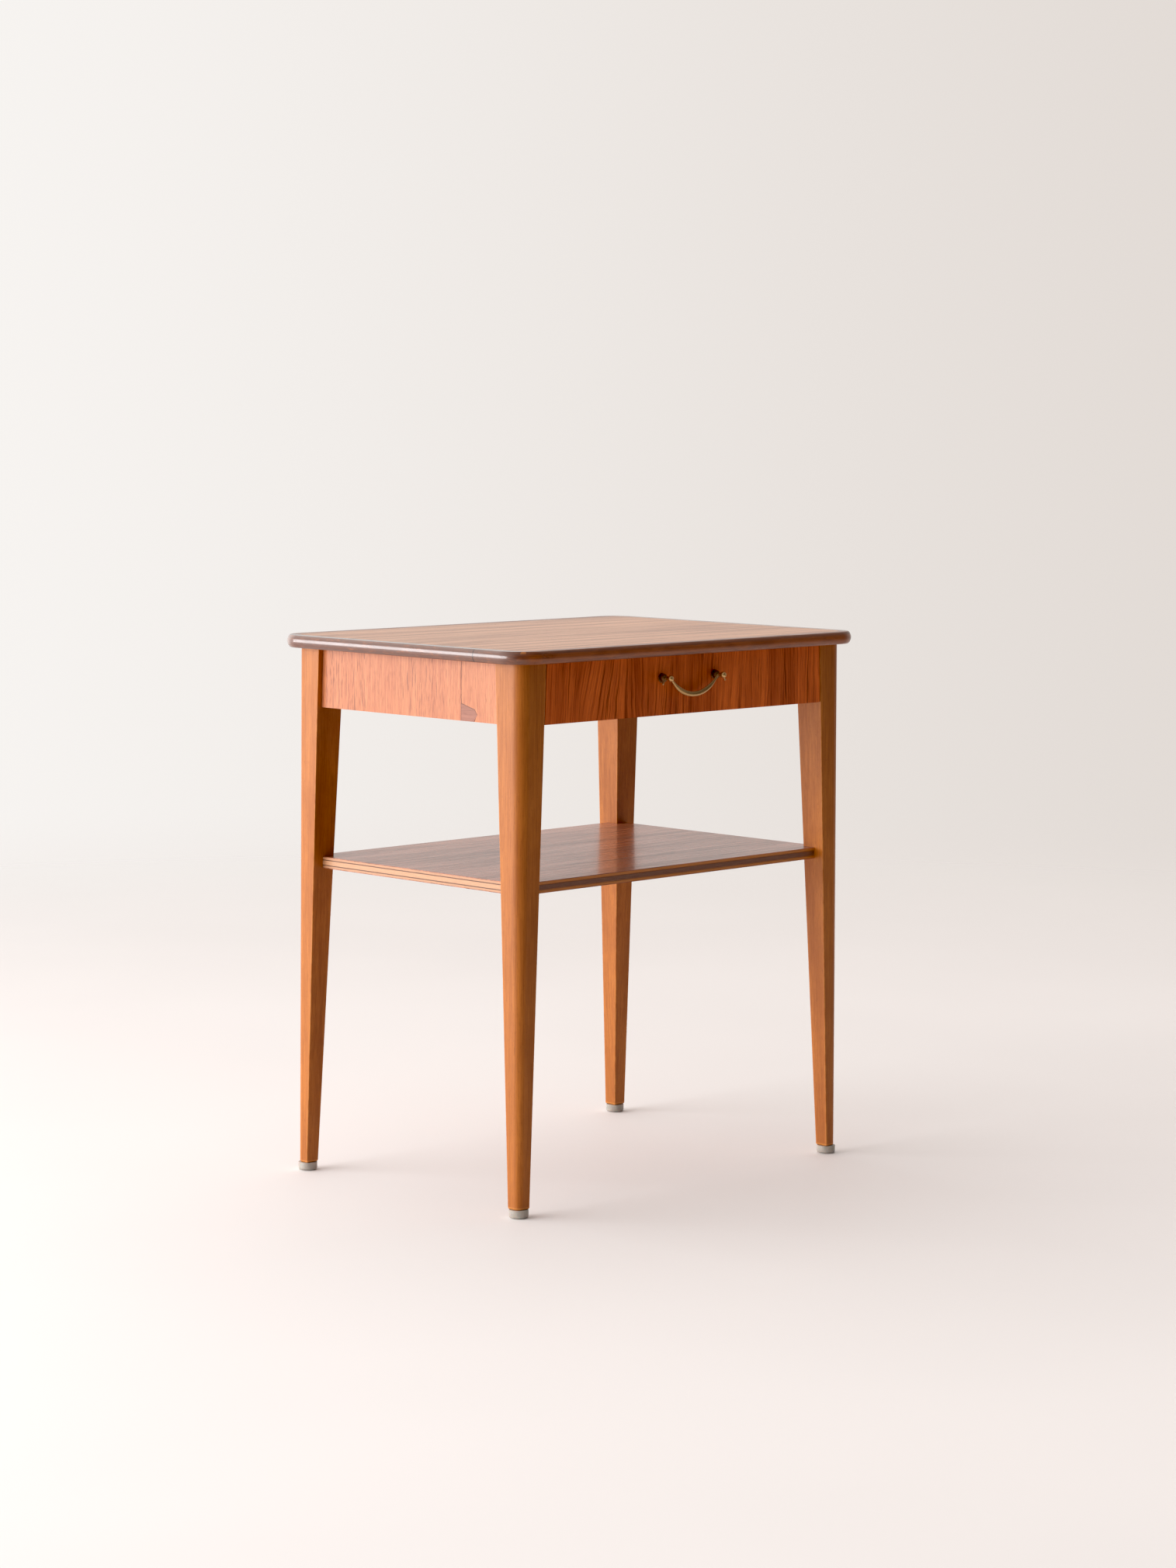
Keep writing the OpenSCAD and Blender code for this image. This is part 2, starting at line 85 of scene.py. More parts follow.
class TableSizes(bpy.types.PropertyGroup):
    """Sizes that the frame leaves open: roundings, chamfers, reliefs and the handle's turning."""

    leg_foot: size("Leg foot", "Side of a leg's square section at the foot", 0.0155)
    leg_round_top: size("Corner at top", "Radius of a leg's outer corner at the top", 0.014)
    leg_round_foot: size("Corner at foot", "Radius of a leg's outer corner at the foot", 0.007)
    leg_arris: size("Leg arris", "Rounding of a leg's three other edges", 0.0006)
    foot_chamfer: size("Foot chamfer", "Chamfer round the foot of a leg", 0.0014)
    lip_width: size("Lipping width", "Width of the solid lipping", 0.014)
    lip_swell: size("Lipping swell", "Swell of the lipping's outer edge", 0.003)
    lip_round: size("Lipping arris", "Rounding where the lipping's edge meets its flat faces", 0.0011)
    corner_r: size("Top corner", "Radius of the top's corners in plan", 0.032)
    board_arris: size("Board arris", "Easing of the edges of rails, runners and drawer boards", 0.0004)
    glide_rim: size("Glide rim", "Rounding of a glide's lower rim", 0.0026)
    ply_groove: size("Ply relief", "Depth by which the dark plies lie back in the shelf's edge", 0.00025)
    boss: size("Boss radius", "Radius of a handle post's flange", 0.005)
    bulb: size("Bulb radius", "Radius of the swelling behind a post's neck", 0.0043)
    neck: size("Neck radius", "Radius of a post's neck", 0.002)
    ball: size("Ball radius", "Radius of a post's ball", 0.0033)
    bail_width: size("Bail width", "Height of the bail's oval section at the middle", 0.0052)
    bail_thick: size("Bail thickness", "Thickness of the bail's oval section at the middle", 0.0034)
    bail_drop: size("Bail drop", "Drop of the bail's centre line", 0.018)
    bail_rod: size("Bail rod", "Radius of the bail's ends in the posts", 0.0008)


class TableColours(bpy.types.PropertyGroup):
    """Colours of the finishes."""

    top_light: colour("Top, light", "Lighter wood of the top's veneer", (0.80, 0.35, 0.138))
    top_dark: colour("Top, dark", "Darker streaks of the top's veneer", (0.33, 0.122, 0.048))
    apron_light: colour("Apron, light", "Lighter wood of the apron veneers", (0.59, 0.220, 0.088))
    apron_dark: colour("Apron, dark", "Dark streaks of the apron veneers", (0.385, 0.112, 0.052))
    patch: colour("Patch", "Small patch let into the left apron", (0.37, 0.140, 0.088))
    drawer_light: colour("Drawer, light", "Lighter wood of the drawer front", (0.80, 0.185, 0.042))
    drawer_dark: colour("Drawer, dark", "Dark figure of the drawer front", (0.30, 0.048, 0.013))
    shelf_light: colour("Shelf, light", "Lighter wood of the shelf's veneer", (0.54, 0.185, 0.095))
    shelf_dark: colour("Shelf, dark", "Dark lines of the shelf's veneer", (0.16, 0.05, 0.028))
    leg_light: colour("Leg, light", "Lighter tone of the stained legs", (0.54, 0.176, 0.027))
    leg_dark: colour("Leg, dark", "Darker tone of the stained legs", (0.30, 0.080, 0.010))
    leg_worn: colour("Leg, worn", "Bare tone of the legs' worn edges", (0.64, 0.25, 0.06))
    lip_light: colour("Lipping, light", "Lighter wood of the lipping", (0.30, 0.080, 0.018))
    lip_bare: colour("Lipping, bare", "Rubbed and scuffed spots of the lipping", (0.50, 0.135, 0.022))
    lip_dark: colour("Lipping, dark", "Darker wood of the lipping", (0.11, 0.028, 0.010))
    ply_pale: colour("Ply, pale", "Pale plies of the shelf's edge", (0.50, 0.24, 0.12))
    ply_core: colour("Ply, core", "Thick middle ply of the shelf's edge", (0.56, 0.28, 0.14))
    ply_dark: colour("Ply, dark", "Dark lines between the plies", (0.075, 0.026, 0.013))
    plain_wood: colour("Plain wood", "Unstained wood inside the table", (0.60, 0.365, 0.20))
    core_wood: colour("Core wood", "Core of the aprons, top and drawer front", (0.47, 0.29, 0.15))
    brass_bright: colour("Brass, rubbed", "Rubbed metal of the handle", (0.60, 0.375, 0.165))
    brass_dark: colour("Brass, dark", "Tarnished metal of the handle", (0.18, 0.092, 0.040))
    steel: colour("Steel", "Screws, nails, washers and nuts", (0.42, 0.41, 0.40))
    glide: colour("Glide", "Plastic of the glides", (0.44, 0.395, 0.345))


class StageSettings(bpy.types.PropertyGroup):
    """Floor, light and camera."""

    floor: colour("Floor", "Colour of the floor", (0.93, 0.885, 0.87))
    backdrop: colour("Backdrop", "Colour of the room round the table", (1.0, 0.975, 0.95))
    window: FloatProperty(name="Window light", description="Power of the large soft light on the left",
        default=101.0, min=0.0, unit="POWER")
    black: FloatProperty(name="Black level", description="Light that is shown as black", default=0.0095,
        min=0.0, max=0.1, precision=4)
    window_size: size("Window width", "Width of the large soft light", 3.0)
    window_height: size("Window height", "Height of the large soft light", 1.4)
    camera_place: FloatVectorProperty(name="Camera place", description="Place of the camera",
        default=(-2.7904, -2.7989, 0.8285), subtype="TRANSLATION", unit="LENGTH")
    camera_turn: FloatProperty(name="Camera turn", description="Heading of the camera from +Y towards +X",
        default=math.radians(45.16), subtype="ANGLE", unit="ROTATION")
    camera_tilt: FloatProperty(name="Camera tilt", description="How far the camera looks down",
        default=math.radians(6.07), subtype="ANGLE", unit="ROTATION")
    camera_roll: FloatProperty(name="Camera roll", description="Roll of the camera about its line of sight",
        default=math.radians(0.32), subtype="ANGLE", unit="ROTATION")
    lens: FloatProperty(name="Lens", description="Focal length on a sensor 36 mm wide", default=114.1,
        min=10.0, unit="CAMERA")


# ---------------------------------------------------------------- node graphs

class Wire:
    """An output socket that takes part in sums: each operator adds a Math node."""

    def __init__(self, graph, socket):
        self.graph, self.socket = graph, socket

    def sum(self, operation, *terms):
        return self.graph.node("ShaderNodeMath", {"operation": operation}, dict(enumerate(terms)))

    def __add__(self, other):
        return self.sum("ADD", self, other)

    __radd__ = __add__

    def __sub__(self, other):
        return self.sum("SUBTRACT", self, other)

    def __rsub__(self, other):
        return self.sum("SUBTRACT", other, self)

    def __mul__(self, other):
        return self.sum("MULTIPLY", self, other)

    __rmul__ = __mul__

    def __truediv__(self, other):
        return self.sum("DIVIDE", self, other)

    def __rtruediv__(self, other):
        return self.sum("DIVIDE", other, self)

    def __pow__(self, other):
        return self.sum("POWER", self, other)

    def __abs__(self):
        return self.sum("ABSOLUTE", self)

    def most(self, other):
        return self.sum("MAXIMUM", self, other)

    def least(self, other):
        return self.sum("MINIMUM", self, other)


class Graph:
    """One node tree. node() is the only way that a node gets into it."""

    def __init__(self, tree):
        self.tree = tree

    def node(self, kind, settings=None, sockets=None, out=0):
        """Adds a node: its settings first, then the values or wires of its sockets.

        Returns the chosen output as a Wire.
        """
        made = self.tree.nodes.new(kind)
        for key, value in (settings or {}).items():
            setattr(made, key, value)
        for key, value in (sockets or {}).items():
            if isinstance(value, Wire):
                self.tree.links.new(value.socket, made.inputs[key])
            else:
                made.inputs[key].default_value = value
        return Wire(self, made.outputs[out]) if len(made.outputs) > 0 else made

    def ease(self, value, low, high, to_low=0.0, to_high=1.0):
        """A smooth step from to_low, at low, to to_high, at high."""
        return self.node("ShaderNodeMapRange", {"interpolation_type": "SMOOTHSTEP"},
            {"Value": value, "From Min": low, "From Max": high, "To Min": to_low, "To Max": to_high})

    def mix(self, share, first, second):
        """Two colours mixed by a share."""
        tone = lambda c: c if isinstance(c, Wire) else (*c, 1.0)
        return self.node("ShaderNodeMix", {"data_type": "RGBA", "clamp_factor": True},
            {0: share, 6: tone(first), 7: tone(second)}, 2)


class Finish(Graph):
    """A material: one Principled shader whose fixed values stand on its own sockets."""

    def __init__(self, name, **fixed):
        self.material = bpy.data.materials.new(name)
        self.material.use_nodes = True
        super().__init__(self.material.node_tree)
        self.tree.nodes.clear()
        self.shader = self.tree.nodes.new("ShaderNodeBsdfPrincipled")
        end = self.tree.nodes.new("ShaderNodeOutputMaterial")
        self.tree.links.new(self.shader.outputs[0], end.inputs[0])
        for key, value in fixed.items():
            self.shader.inputs[key.replace("_", " ")].default_value = value
        self.place = self.node("ShaderNodeTexCoord", out=3)
        self.x, self.y, self.z = (
            self.node("ShaderNodeSeparateXYZ", sockets={0: self.place}, out=i) for i in range(3))

    def stretch(self, scale, where=None):
        """Coordinates drawn out by a Mapping node."""
        return self.node("ShaderNodeMapping", sockets={"Vector": where or self.place, "Scale": scale})

    def noise(self, where, seed, detail, rough, out=0):
        """Noise of one cell per unit of the coordinates; its seed is the fourth one."""
        return self.node("ShaderNodeTexNoise", {"noise_dimensions": "4D"},
            {"Vector": where, "W": seed, "Scale": 1.0, "Detail": detail, "Roughness": rough}, out)

    def spread(self, cells, seed, detail, rough, where=None):
        """Noise with its own number of cells per metre along each axis."""
        return self.noise(self.stretch(cells, where), seed, detail, rough)

    def grain(self, axis, across, along, seed, detail, rough, where):
        """Noise drawn out along one axis; across and along are cells per metre."""
        cells = [across] * 3
        cells[axis] = along
        return self.spread(cells, seed, detail, rough, where)

    def shift(self, vector, offset):
        return self.node("ShaderNodeVectorMath", {"operation": "ADD"}, {0: vector, 1: offset})

    def wander(self, amount, scale, seed):
        """The object's coordinates, pushed about softly so that grain lines aren't straight."""
        soft = self.noise(self.stretch(scale), seed, 1.0, 0.5, out=1)
        push = self.node("ShaderNodeVectorMath", {"operation": "SUBTRACT"}, {0: soft, 1: (0.5, 0.5, 0.5)})
        push = self.node("ShaderNodeVectorMath", {"operation": "MULTIPLY"}, {0: push, 1: amount})
        return self.shift(self.place, push)

    def feed(self, **wires):
        """Links what changes over the surface; height is a bump in metres."""
        height = wires.pop("height", None)
        if height is not None:
            relief = self.node("ShaderNodeBump", sockets={"Strength": 1.0, "Distance": 1.0, "Height": height})
            self.tree.links.new(relief.socket, self.shader.inputs["Normal"])
        for key, wire in wires.items():
            self.tree.links.new(wire.socket, self.shader.inputs[key.replace("_", " ")])
        return self


def shade(tone, share):
    """A colour made darker, or lighter when share is more than 1."""
    return tuple(c * share for c in tone)


def wood(name, light, dark, axis, seed, bands=28.0, lines=420.0, gains=(1.0, 1.8, 0.8), pores=0.55, gloss=0.3,
        relief=0.00004, wander=0.002, reach=5.0, coat=0.1, coat_rough=0.2, shine=0.42):
    """A varnished or plain wood with its grain along one axis: broad bands, lines, short pores and a light relief.

    Returns the finish with its colour, roughness and height, so that a piece can add
    marks of its own before it is fed.
    """
    f = Finish(name, Coat_Weight=coat, Coat_Roughness=coat_rough, Specular_IOR_Level=shine)
    push = [wander] * 3
    push[axis] = 0.0
    slow = [7.0] * 3
    slow[axis] = 3.0
    where = f.wander(tuple(push), tuple(slow), seed + 3.1)
    band = f.grain(axis, bands, bands / 12, seed, 1.0, 0.4, where)
    line = f.grain(axis, lines, reach, seed + 7.3, 3.0, 0.6, where)
    hair = f.grain(axis, lines * 3.3, reach * 5, seed + 13.7, 1.0, 0.5, where)
    pore = f.ease(f.grain(axis, 2300.0, 75.0, seed + 19.9, 1.0, 0.5, where), 0.60, 0.70)
    share = (
        (band - 0.5) * gains[0] + (line - 0.5) * gains[1] + (hair - 0.5) * gains[2] + 0.5
    ).most(0.0).least(1.0)
    tone = f.mix(share, light, dark)
    tone = f.mix(pore * pores, tone, shade(dark, 0.42))
    rough = gloss + 0.10 * share + 0.08 * pore
    height = (hair * 0.4 - pore * 0.6) * relief
    f.where = where
    return f, tone, rough, height


def unmarked(*basics, **look):
    """A wood that gets no marks of its own, ready to use."""
    f, tone, rough, height = wood(*basics, **look)
    return f.feed(Base_Color=tone, Roughness=rough, height=height)


def core_wood(colours, name, axis, seed, gloss=0.6):
    """The plain core under a veneer."""
    return unmarked(name, colours.core_wood, shade(colours.core_wood, 0.6), axis, seed, bands=60.0,
        lines=500.0, gloss=gloss, coat=0.0)


def made_before(name):
    """A finish that an earlier piece made, or nothing."""
    known = bpy.data.materials.get(name)
    if known is None:
        return None
    shell = Graph(known.node_tree)
    shell.material = known
    return shell


# ---------------------------------------------------------------- meshes

def evaluated(obj):
    """The plain mesh of an object with its modifiers worked out; the object itself is taken away."""
    scope = bpy.context.evaluated_depsgraph_get()
    mesh = bpy.data.meshes.new_from_object(obj.evaluated_get(scope), preserve_all_data_layers=True,
        depsgraph=scope)
    bpy.data.objects.remove(obj)
    return mesh


def loose(mesh, name="work"):
    """An object for a mesh, in the scene."""
    obj = bpy.data.objects.new(name, mesh)
    bpy.context.scene.collection.objects.link(obj)
    return obj


def to_mesh(bm):
    mesh = bpy.data.meshes.new("work")
    bm.to_mesh(mesh)
    bm.free()
    return mesh


def closed(bm):
    """Merges doubles, turns the faces outwards and gives back a mesh."""
    bmesh.ops.remove_doubles(bm, verts=bm.verts, dist=1e-7)
    bmesh.ops.recalc_face_normals(bm, faces=bm.faces)
    return to_mesh(bm)


def from_meshes(*meshes):
    bm = bmesh.new()
    for mesh in meshes:
        bm.from_mesh(mesh)
    return bm


def loft(rings):
    """A closed skin over rings of equal length, with a flat face at each end."""
    n = len(rings[0])
    points = [p for ring in rings for p in ring]
    faces = [(r * n + i, r * n + (i + 1) % n, (r + 1) * n + (i + 1) % n, (r + 1) * n + i)
        for r in range(len(rings) - 1) for i in range(n)]
    faces += [tuple(range(n)), tuple(range(len(points) - n, len(points)))]
    bm = bmesh.new()
    corners = [bm.verts.new(p) for p in points]
    for face in faces:
        bm.faces.new([corners[i] for i in face])
    return closed(bm)


def lathe(profile, segments=48, ring=False, flutes=0, depth=0.0):
    """Turns (radius, height) pairs about Z.

    ring closes the profile on itself; otherwise it starts and ends on the axis.
    """
    bm = bmesh.new()
    rows = []
    for r, z in profile:
        if r <= 1e-9:
            rows.append([bm.verts.new((0, 0, z))] * segments)
            continue
        row = []
        for i in range(segments):
            a = 2 * math.pi * i / segments
            rr = r - depth * (0.5 + 0.5 * math.cos(a * flutes)) ** 3 if flutes else r
            row.append(bm.verts.new((rr * math.cos(a), rr * math.sin(a), z)))
        rows.append(row)
    pairs = list(zip(rows, rows[1:])) + ([(rows[-1], rows[0])] if ring else [])
    for low, high in pairs:
        for i in range(segments):
            j = (i + 1) % segments
            corners = list(dict.fromkeys([low[i], low[j], high[j], high[i]]))
            if len(corners) > 2:
                bm.faces.new(corners)
    return closed(bm)


def block(low, high):
    """A box between two corners, used to cut with."""
    (a, b, c), (d, e, f) = low, high
    ring = lambda z: [(a, b, z), (d, b, z), (d, e, z), (a, e, z)]
    return loft([ring(c), ring(f)])


def rod(start, end, radius, segments=40):
    """A cylinder between two points, used to cut with."""
    start, end = Vector(start), Vector(end)
    mesh = loft([
        [(radius * math.cos(t), radius * math.sin(t), z) for t in np.linspace(0, 2 * math.pi, segments, endpoint=False)]
        for z in (0, (end - start).length)])
    mesh.transform(Matrix.Translation(start) @ (end - start).to_track_quat("Z", "Y").to_matrix().to_4x4())
    return mesh


def cut(mesh, *tools, how="DIFFERENCE"):
    """mesh with the tools taken out of it, or with what it shares with them left."""
    obj, tool = loose(mesh), loose(to_mesh(from_meshes(*tools)), "tool")
    step = obj.modifiers.new("cut", "BOOLEAN")
    step.operation, step.solver, step.object = how, "EXACT", tool
    made = evaluated(obj)
    bpy.data.objects.remove(tool)
    return made


def smoothed(mesh, angle=32.0):
    """Smooth shading with sharp edges kept, weighted by face area so that flat faces stay flat."""
    mesh.shade_smooth()
    mesh.set_sharp_from_angle(angle=math.radians(angle))
    obj = loose(mesh)
    step = obj.modifiers.new("flat_faces", "WEIGHTED_NORMAL")
    step.keep_sharp = True
    step.weight = 60
    return evaluated(obj)


def welded(node):
    """A bmesh of a CAD node's copy with its doubles merged and its flat faces whole."""
    mesh = frame["nodes"][node].data.copy()
    for spare in [a.name for a in mesh.attributes if a.name in ("custom_normal", "UVMap")]:
        mesh.attributes.remove(mesh.attributes[spare])
    bm = from_meshes(mesh)
    bmesh.ops.remove_doubles(bm, verts=bm.verts, dist=2e-6)
    bmesh.ops.dissolve_limit(bm, angle_limit=math.radians(0.5), verts=bm.verts, edges=bm.edges)
    bpy.data.meshes.remove(mesh)
    return bm


def eased(node, width):
    """A copy of a CAD node with its sharp edges eased."""
    bm = welded(node)
    edges = [e for e in bm.edges if e.is_manifold and e.calc_face_angle(0.0) > math.radians(40)]
    bmesh.ops.bevel(bm, geom=edges, offset=width, segments=2, profile=0.6, affect="EDGES", clamp_overlap=True)
    return closed(bm)


def solids(node):
    """Lowest and highest corner of each separate solid of a CAD node, in order of x, y and z."""
    mesh = frame["nodes"][node].data
    spots, ids = {}, []
    for v in mesh.vertices:
        ids.append(spots.setdefault(tuple(round(c, 6) for c in v.co), len(spots)))
    root = list(range(len(spots)))

    def top(i):
        while root[i] != i:
            root[i] = root[root[i]]
            i = root[i]
        return i

    for face in mesh.polygons:
        first = top(ids[face.vertices[0]])
        for v in face.vertices[1:]:
            root[top(ids[v])] = first
    groups = {}
    for spot, i in spots.items():
        groups.setdefault(top(i), []).append(spot)
    boxes = [(Vector(np.min(g, 0)), Vector(np.max(g, 0))) for g in groups.values()]
    return sorted(boxes, key=lambda b: tuple(round(c, 4) for c in b[0]))


def middle(box):
    return (box[0] + box[1]) / 2


def longest(box):
    """The axis along which a box is longest."""
    return max(range(3), key=lambda i: box[1][i] - box[0][i])


def on_circle(degrees):
    """Cosine and sine of an angle."""
    return math.cos(math.radians(degrees)), math.sin(math.radians(degrees))


def piece(name, mesh, finish, slot, body, *nodes):
    """Puts a finished mesh on a body, in place of its CAD nodes."""
    mesh.name = name
    mesh.materials.clear()
    mesh.materials.append(finish.material)
    obj = loose(mesh, name)
    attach(obj, body)
    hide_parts(*nodes)
    return obj


def dress(finish, *nodes):
    """Gives CAD nodes a finish and leaves their shape alone."""
    for node in nodes:
        frame["nodes"][node].material_slots[0].material = finish.material


# ---------------------------------------------------------------- geometry node trees

def new_tree(name, inputs):
    """A Geometry Nodes tree with named inputs; returns its graph and the wires of those inputs."""
    tree = bpy.data.node_groups.new(name, "GeometryNodeTree")
    tree.interface.new_socket("Geometry", in_out="OUTPUT", socket_type="NodeSocketGeometry")
    tree.interface.new_socket("Geometry", in_out="INPUT", socket_type="NodeSocketGeometry")
    for label, kind in inputs.items():
        tree.interface.new_socket(label, in_out="INPUT", socket_type="NodeSocket" + kind)
    graph = Graph(tree)
    entry = tree.nodes.new("NodeGroupInput")
    wires = {s.name: Wire(graph, s) for s in entry.outputs if s.name}
    return graph, wires


def end_tree(graph, geometry, material):
    """Every tree ends in Realize Instances and Set Material."""
    real = graph.node("GeometryNodeRealizeInstances", sockets={"Geometry": geometry})
    coated = graph.node("GeometryNodeSetMaterial", sockets={"Geometry": real, "Material": material})
    graph.node("NodeGroupOutput", sockets={0: coated})
    return graph.tree


def follow_path_tree():
    """Sweeps a profile along a path. The path's points carry centre, side and rise vectors and how far along they are;
    the profile's points carry how far across and out they are and how far around."""
    g, given = new_tree("follow_path", {"Profile": "Object", "Width": "Float", "Height": "Float",
        "Material": "Material"})
    named = lambda name, kind: g.node("GeometryNodeInputNamedAttribute", {"data_type": kind}, {"Name": name})
    vector = lambda how, a, b: g.node("ShaderNodeVectorMath", {"operation": how},
        {0: a, (3 if how == "SCALE" else 1): b})
    path = g.node("GeometryNodeMeshToCurve", sockets={"Mesh": given["Geometry"]})
    shape = g.node("GeometryNodeObjectInfo", {"transform_space": "ORIGINAL"}, {"Object": given["Profile"]}, 4)
    shape = g.node("GeometryNodeMeshToCurve", sockets={"Mesh": shape})
    swept = g.node("GeometryNodeCurveToMesh", sockets={"Curve": path, "Profile Curve": shape,
        "Fill Caps": True})
    side = vector("SCALE", named("side", "FLOAT_VECTOR"), named("across", "FLOAT") * given["Width"])
    rise = vector("SCALE", named("rise", "FLOAT_VECTOR"), named("out", "FLOAT") * given["Height"])
    place = vector("ADD", named("centre", "FLOAT_VECTOR"), vector("ADD", side, rise))
    swept = g.node("GeometryNodeSetPosition", sockets={"Geometry": swept, "Position": place})
    pair = g.node("ShaderNodeCombineXYZ", sockets={0: named("along", "FLOAT"), 1: named("around", "FLOAT")})
    swept = g.node("GeometryNodeStoreNamedAttribute", {"data_type": "FLOAT2", "domain": "CORNER"},
        {"Geometry": swept, "Name": "UVMap", "Value": pair})
    return end_tree(g, swept, given["Material"])


def place_copies_tree():
    """Sets a copy of an object at each point.

    A copy is turned as its point says and spun by a seeded amount about its own axis.
    """
    g, given = new_tree("place_copies", {"Copy": "Object", "Spin": "Float", "Seed": "Int",
        "Material": "Material"})
    copy = g.node("GeometryNodeObjectInfo", {"transform_space": "ORIGINAL"}, {"Object": given["Copy"]}, 4)
    turn = g.node("GeometryNodeInputNamedAttribute", {"data_type": "FLOAT_VECTOR"}, {"Name": "turn"})
    turn = g.node("FunctionNodeEulerToRotation", sockets={0: turn})
    set_out = g.node("GeometryNodeInstanceOnPoints", sockets={"Points": given["Geometry"], "Instance": copy,
        "Rotation": turn})
    spin = g.node("FunctionNodeRandomValue", {"data_type": "FLOAT"},
        {2: 0.0, 3: given["Spin"], "Seed": given["Seed"]}, 1)
    spin = g.node("ShaderNodeCombineXYZ", sockets={2: spin})
    spin = g.node("FunctionNodeEulerToRotation", sockets={0: spin})
    set_out = g.node("GeometryNodeRotateInstances", sockets={"Instances": set_out, "Rotation": spin,
        "Local Space": True})
    return end_tree(g, set_out, given["Material"])


def grown(tree, base, **inputs):
    """The plain mesh that a tree makes from a base mesh. Its inputs are set by their sockets' identifiers."""
    obj = loose(base)
    step = obj.modifiers.new("grow", "NODES")
    step.node_group = tree
    for item in tree.interface.items_tree:
        if item.item_type == "SOCKET" and item.in_out == "INPUT" and item.name in inputs:
            step[item.identifier] = inputs[item.name]
    return evaluated(obj)


def line_mesh(points, ring=False, **columns):
    """A line of points that carries its columns as point attributes."""
    mesh = bpy.data.meshes.new("line")
    n = len(points)
    mesh.from_pydata([tuple(p) for p in points], [(i, (i + 1) % n) for i in range(n if ring else n - 1)], [])
    for key, values in columns.items():
        flat = np.array(values, np.float32)
        kind, field = ("FLOAT_VECTOR", "vector") if flat.ndim == 2 else ("FLOAT", "value")
        mesh.attributes.new(key, kind, "POINT").data.foreach_set(field, flat.ravel())
    return mesh


def swept(path, profile, width, height, finish):
    """Sweeps a closed profile, given as (across, out) pairs, along a path given as (centre, side, rise) rows."""
    centre, side, rise = (np.array([row[i] for row in path], float) for i in range(3))
    along = np.concatenate([[0.0], np.cumsum(np.linalg.norm(np.diff(centre, axis=0), axis=1))])
    base = line_mesh(centre, centre=centre, side=side, rise=rise, along=along)
    shape = np.array(profile, float)
    step = np.linalg.norm(np.diff(shape * (width, height), axis=0), axis=1)
    around = np.concatenate([[0.0], np.cumsum(step)])
    tool = loose(line_mesh([(a * width, o * height, 0) for a, o in shape], True, across=shape[:, 0],
        out=shape[:, 1], around=around), "profile")
    mesh = grown(bpy.data.node_groups["follow_path"], base, Profile=tool, Width=width, Height=height,
        Material=finish.material)
    bpy.data.objects.remove(tool)
    return closed(from_meshes(mesh))


def copies(model, spots, finish, spin=0.0, seed=1):
    """Copies of a model mesh at spots, given as (place, direction of the model's +Z)."""
    turns = [Vector(d).to_track_quat("Z", "Y").to_euler() for _, d in spots]
    base = bpy.data.meshes.new("points")
    base.from_pydata([tuple(p) for p, _ in spots], [], [])
    base.attributes.new("turn", "FLOAT_VECTOR", "POINT").data.foreach_set("vector",
        np.array([tuple(t) for t in turns], np.float32).ravel())
    tool = loose(model, "model")
    mesh = grown(bpy.data.node_groups["place_copies"], base, Copy=tool, Spin=spin, Seed=seed,
        Material=finish.material)
    bpy.data.objects.remove(tool)
    return mesh


def arc(centre, radius, start, end, steps):
    """Points of an arc; angles in degrees."""
    return [(centre[0] + radius * math.cos(math.radians(t)), centre[1] + radius * math.sin(math.radians(t)))
        for t in np.linspace(start, end, steps)]


# ---------------------------------------------------------------- operators

class Piece:
    """What the operators share."""

    bl_options = {"REGISTER", "UNDO"}

    def execute(self, context):
        self.build(context.scene.table_sizes, context.scene.table_colours)
        return {"FINISHED"}


class TABLE_OT_trees(Piece, bpy.types.Operator):
    """Make the node trees that the swept and repeated pieces share"""

    bl_idname = "table.trees"
    bl_label = "Node Trees"

    def build(self, sizes, colours):
        follow_path_tree()
        place_copies_tree()


class TABLE_OT_top(Piece, bpy.types.Operator):
    """Finish the veneered top board"""

    bl_idname = "table.top"
    bl_label = "Top Board"

    def build(self, sizes, colours):
        f = unmarked("top_veneer_finish", colours.top_light, colours.top_dark, 0, 2.0, bands=44.0, lines=250.0,
            gains=(1.1, 2.8, 1.6), pores=0.5, gloss=0.31, coat=0.3, coat_rough=0.2, shine=0.4, reach=3.0)
        dress(f, "top_veneer")
        dress(core_wood(colours, "core_wood_finish", 0, 5.0), "top_core", "top_backing")


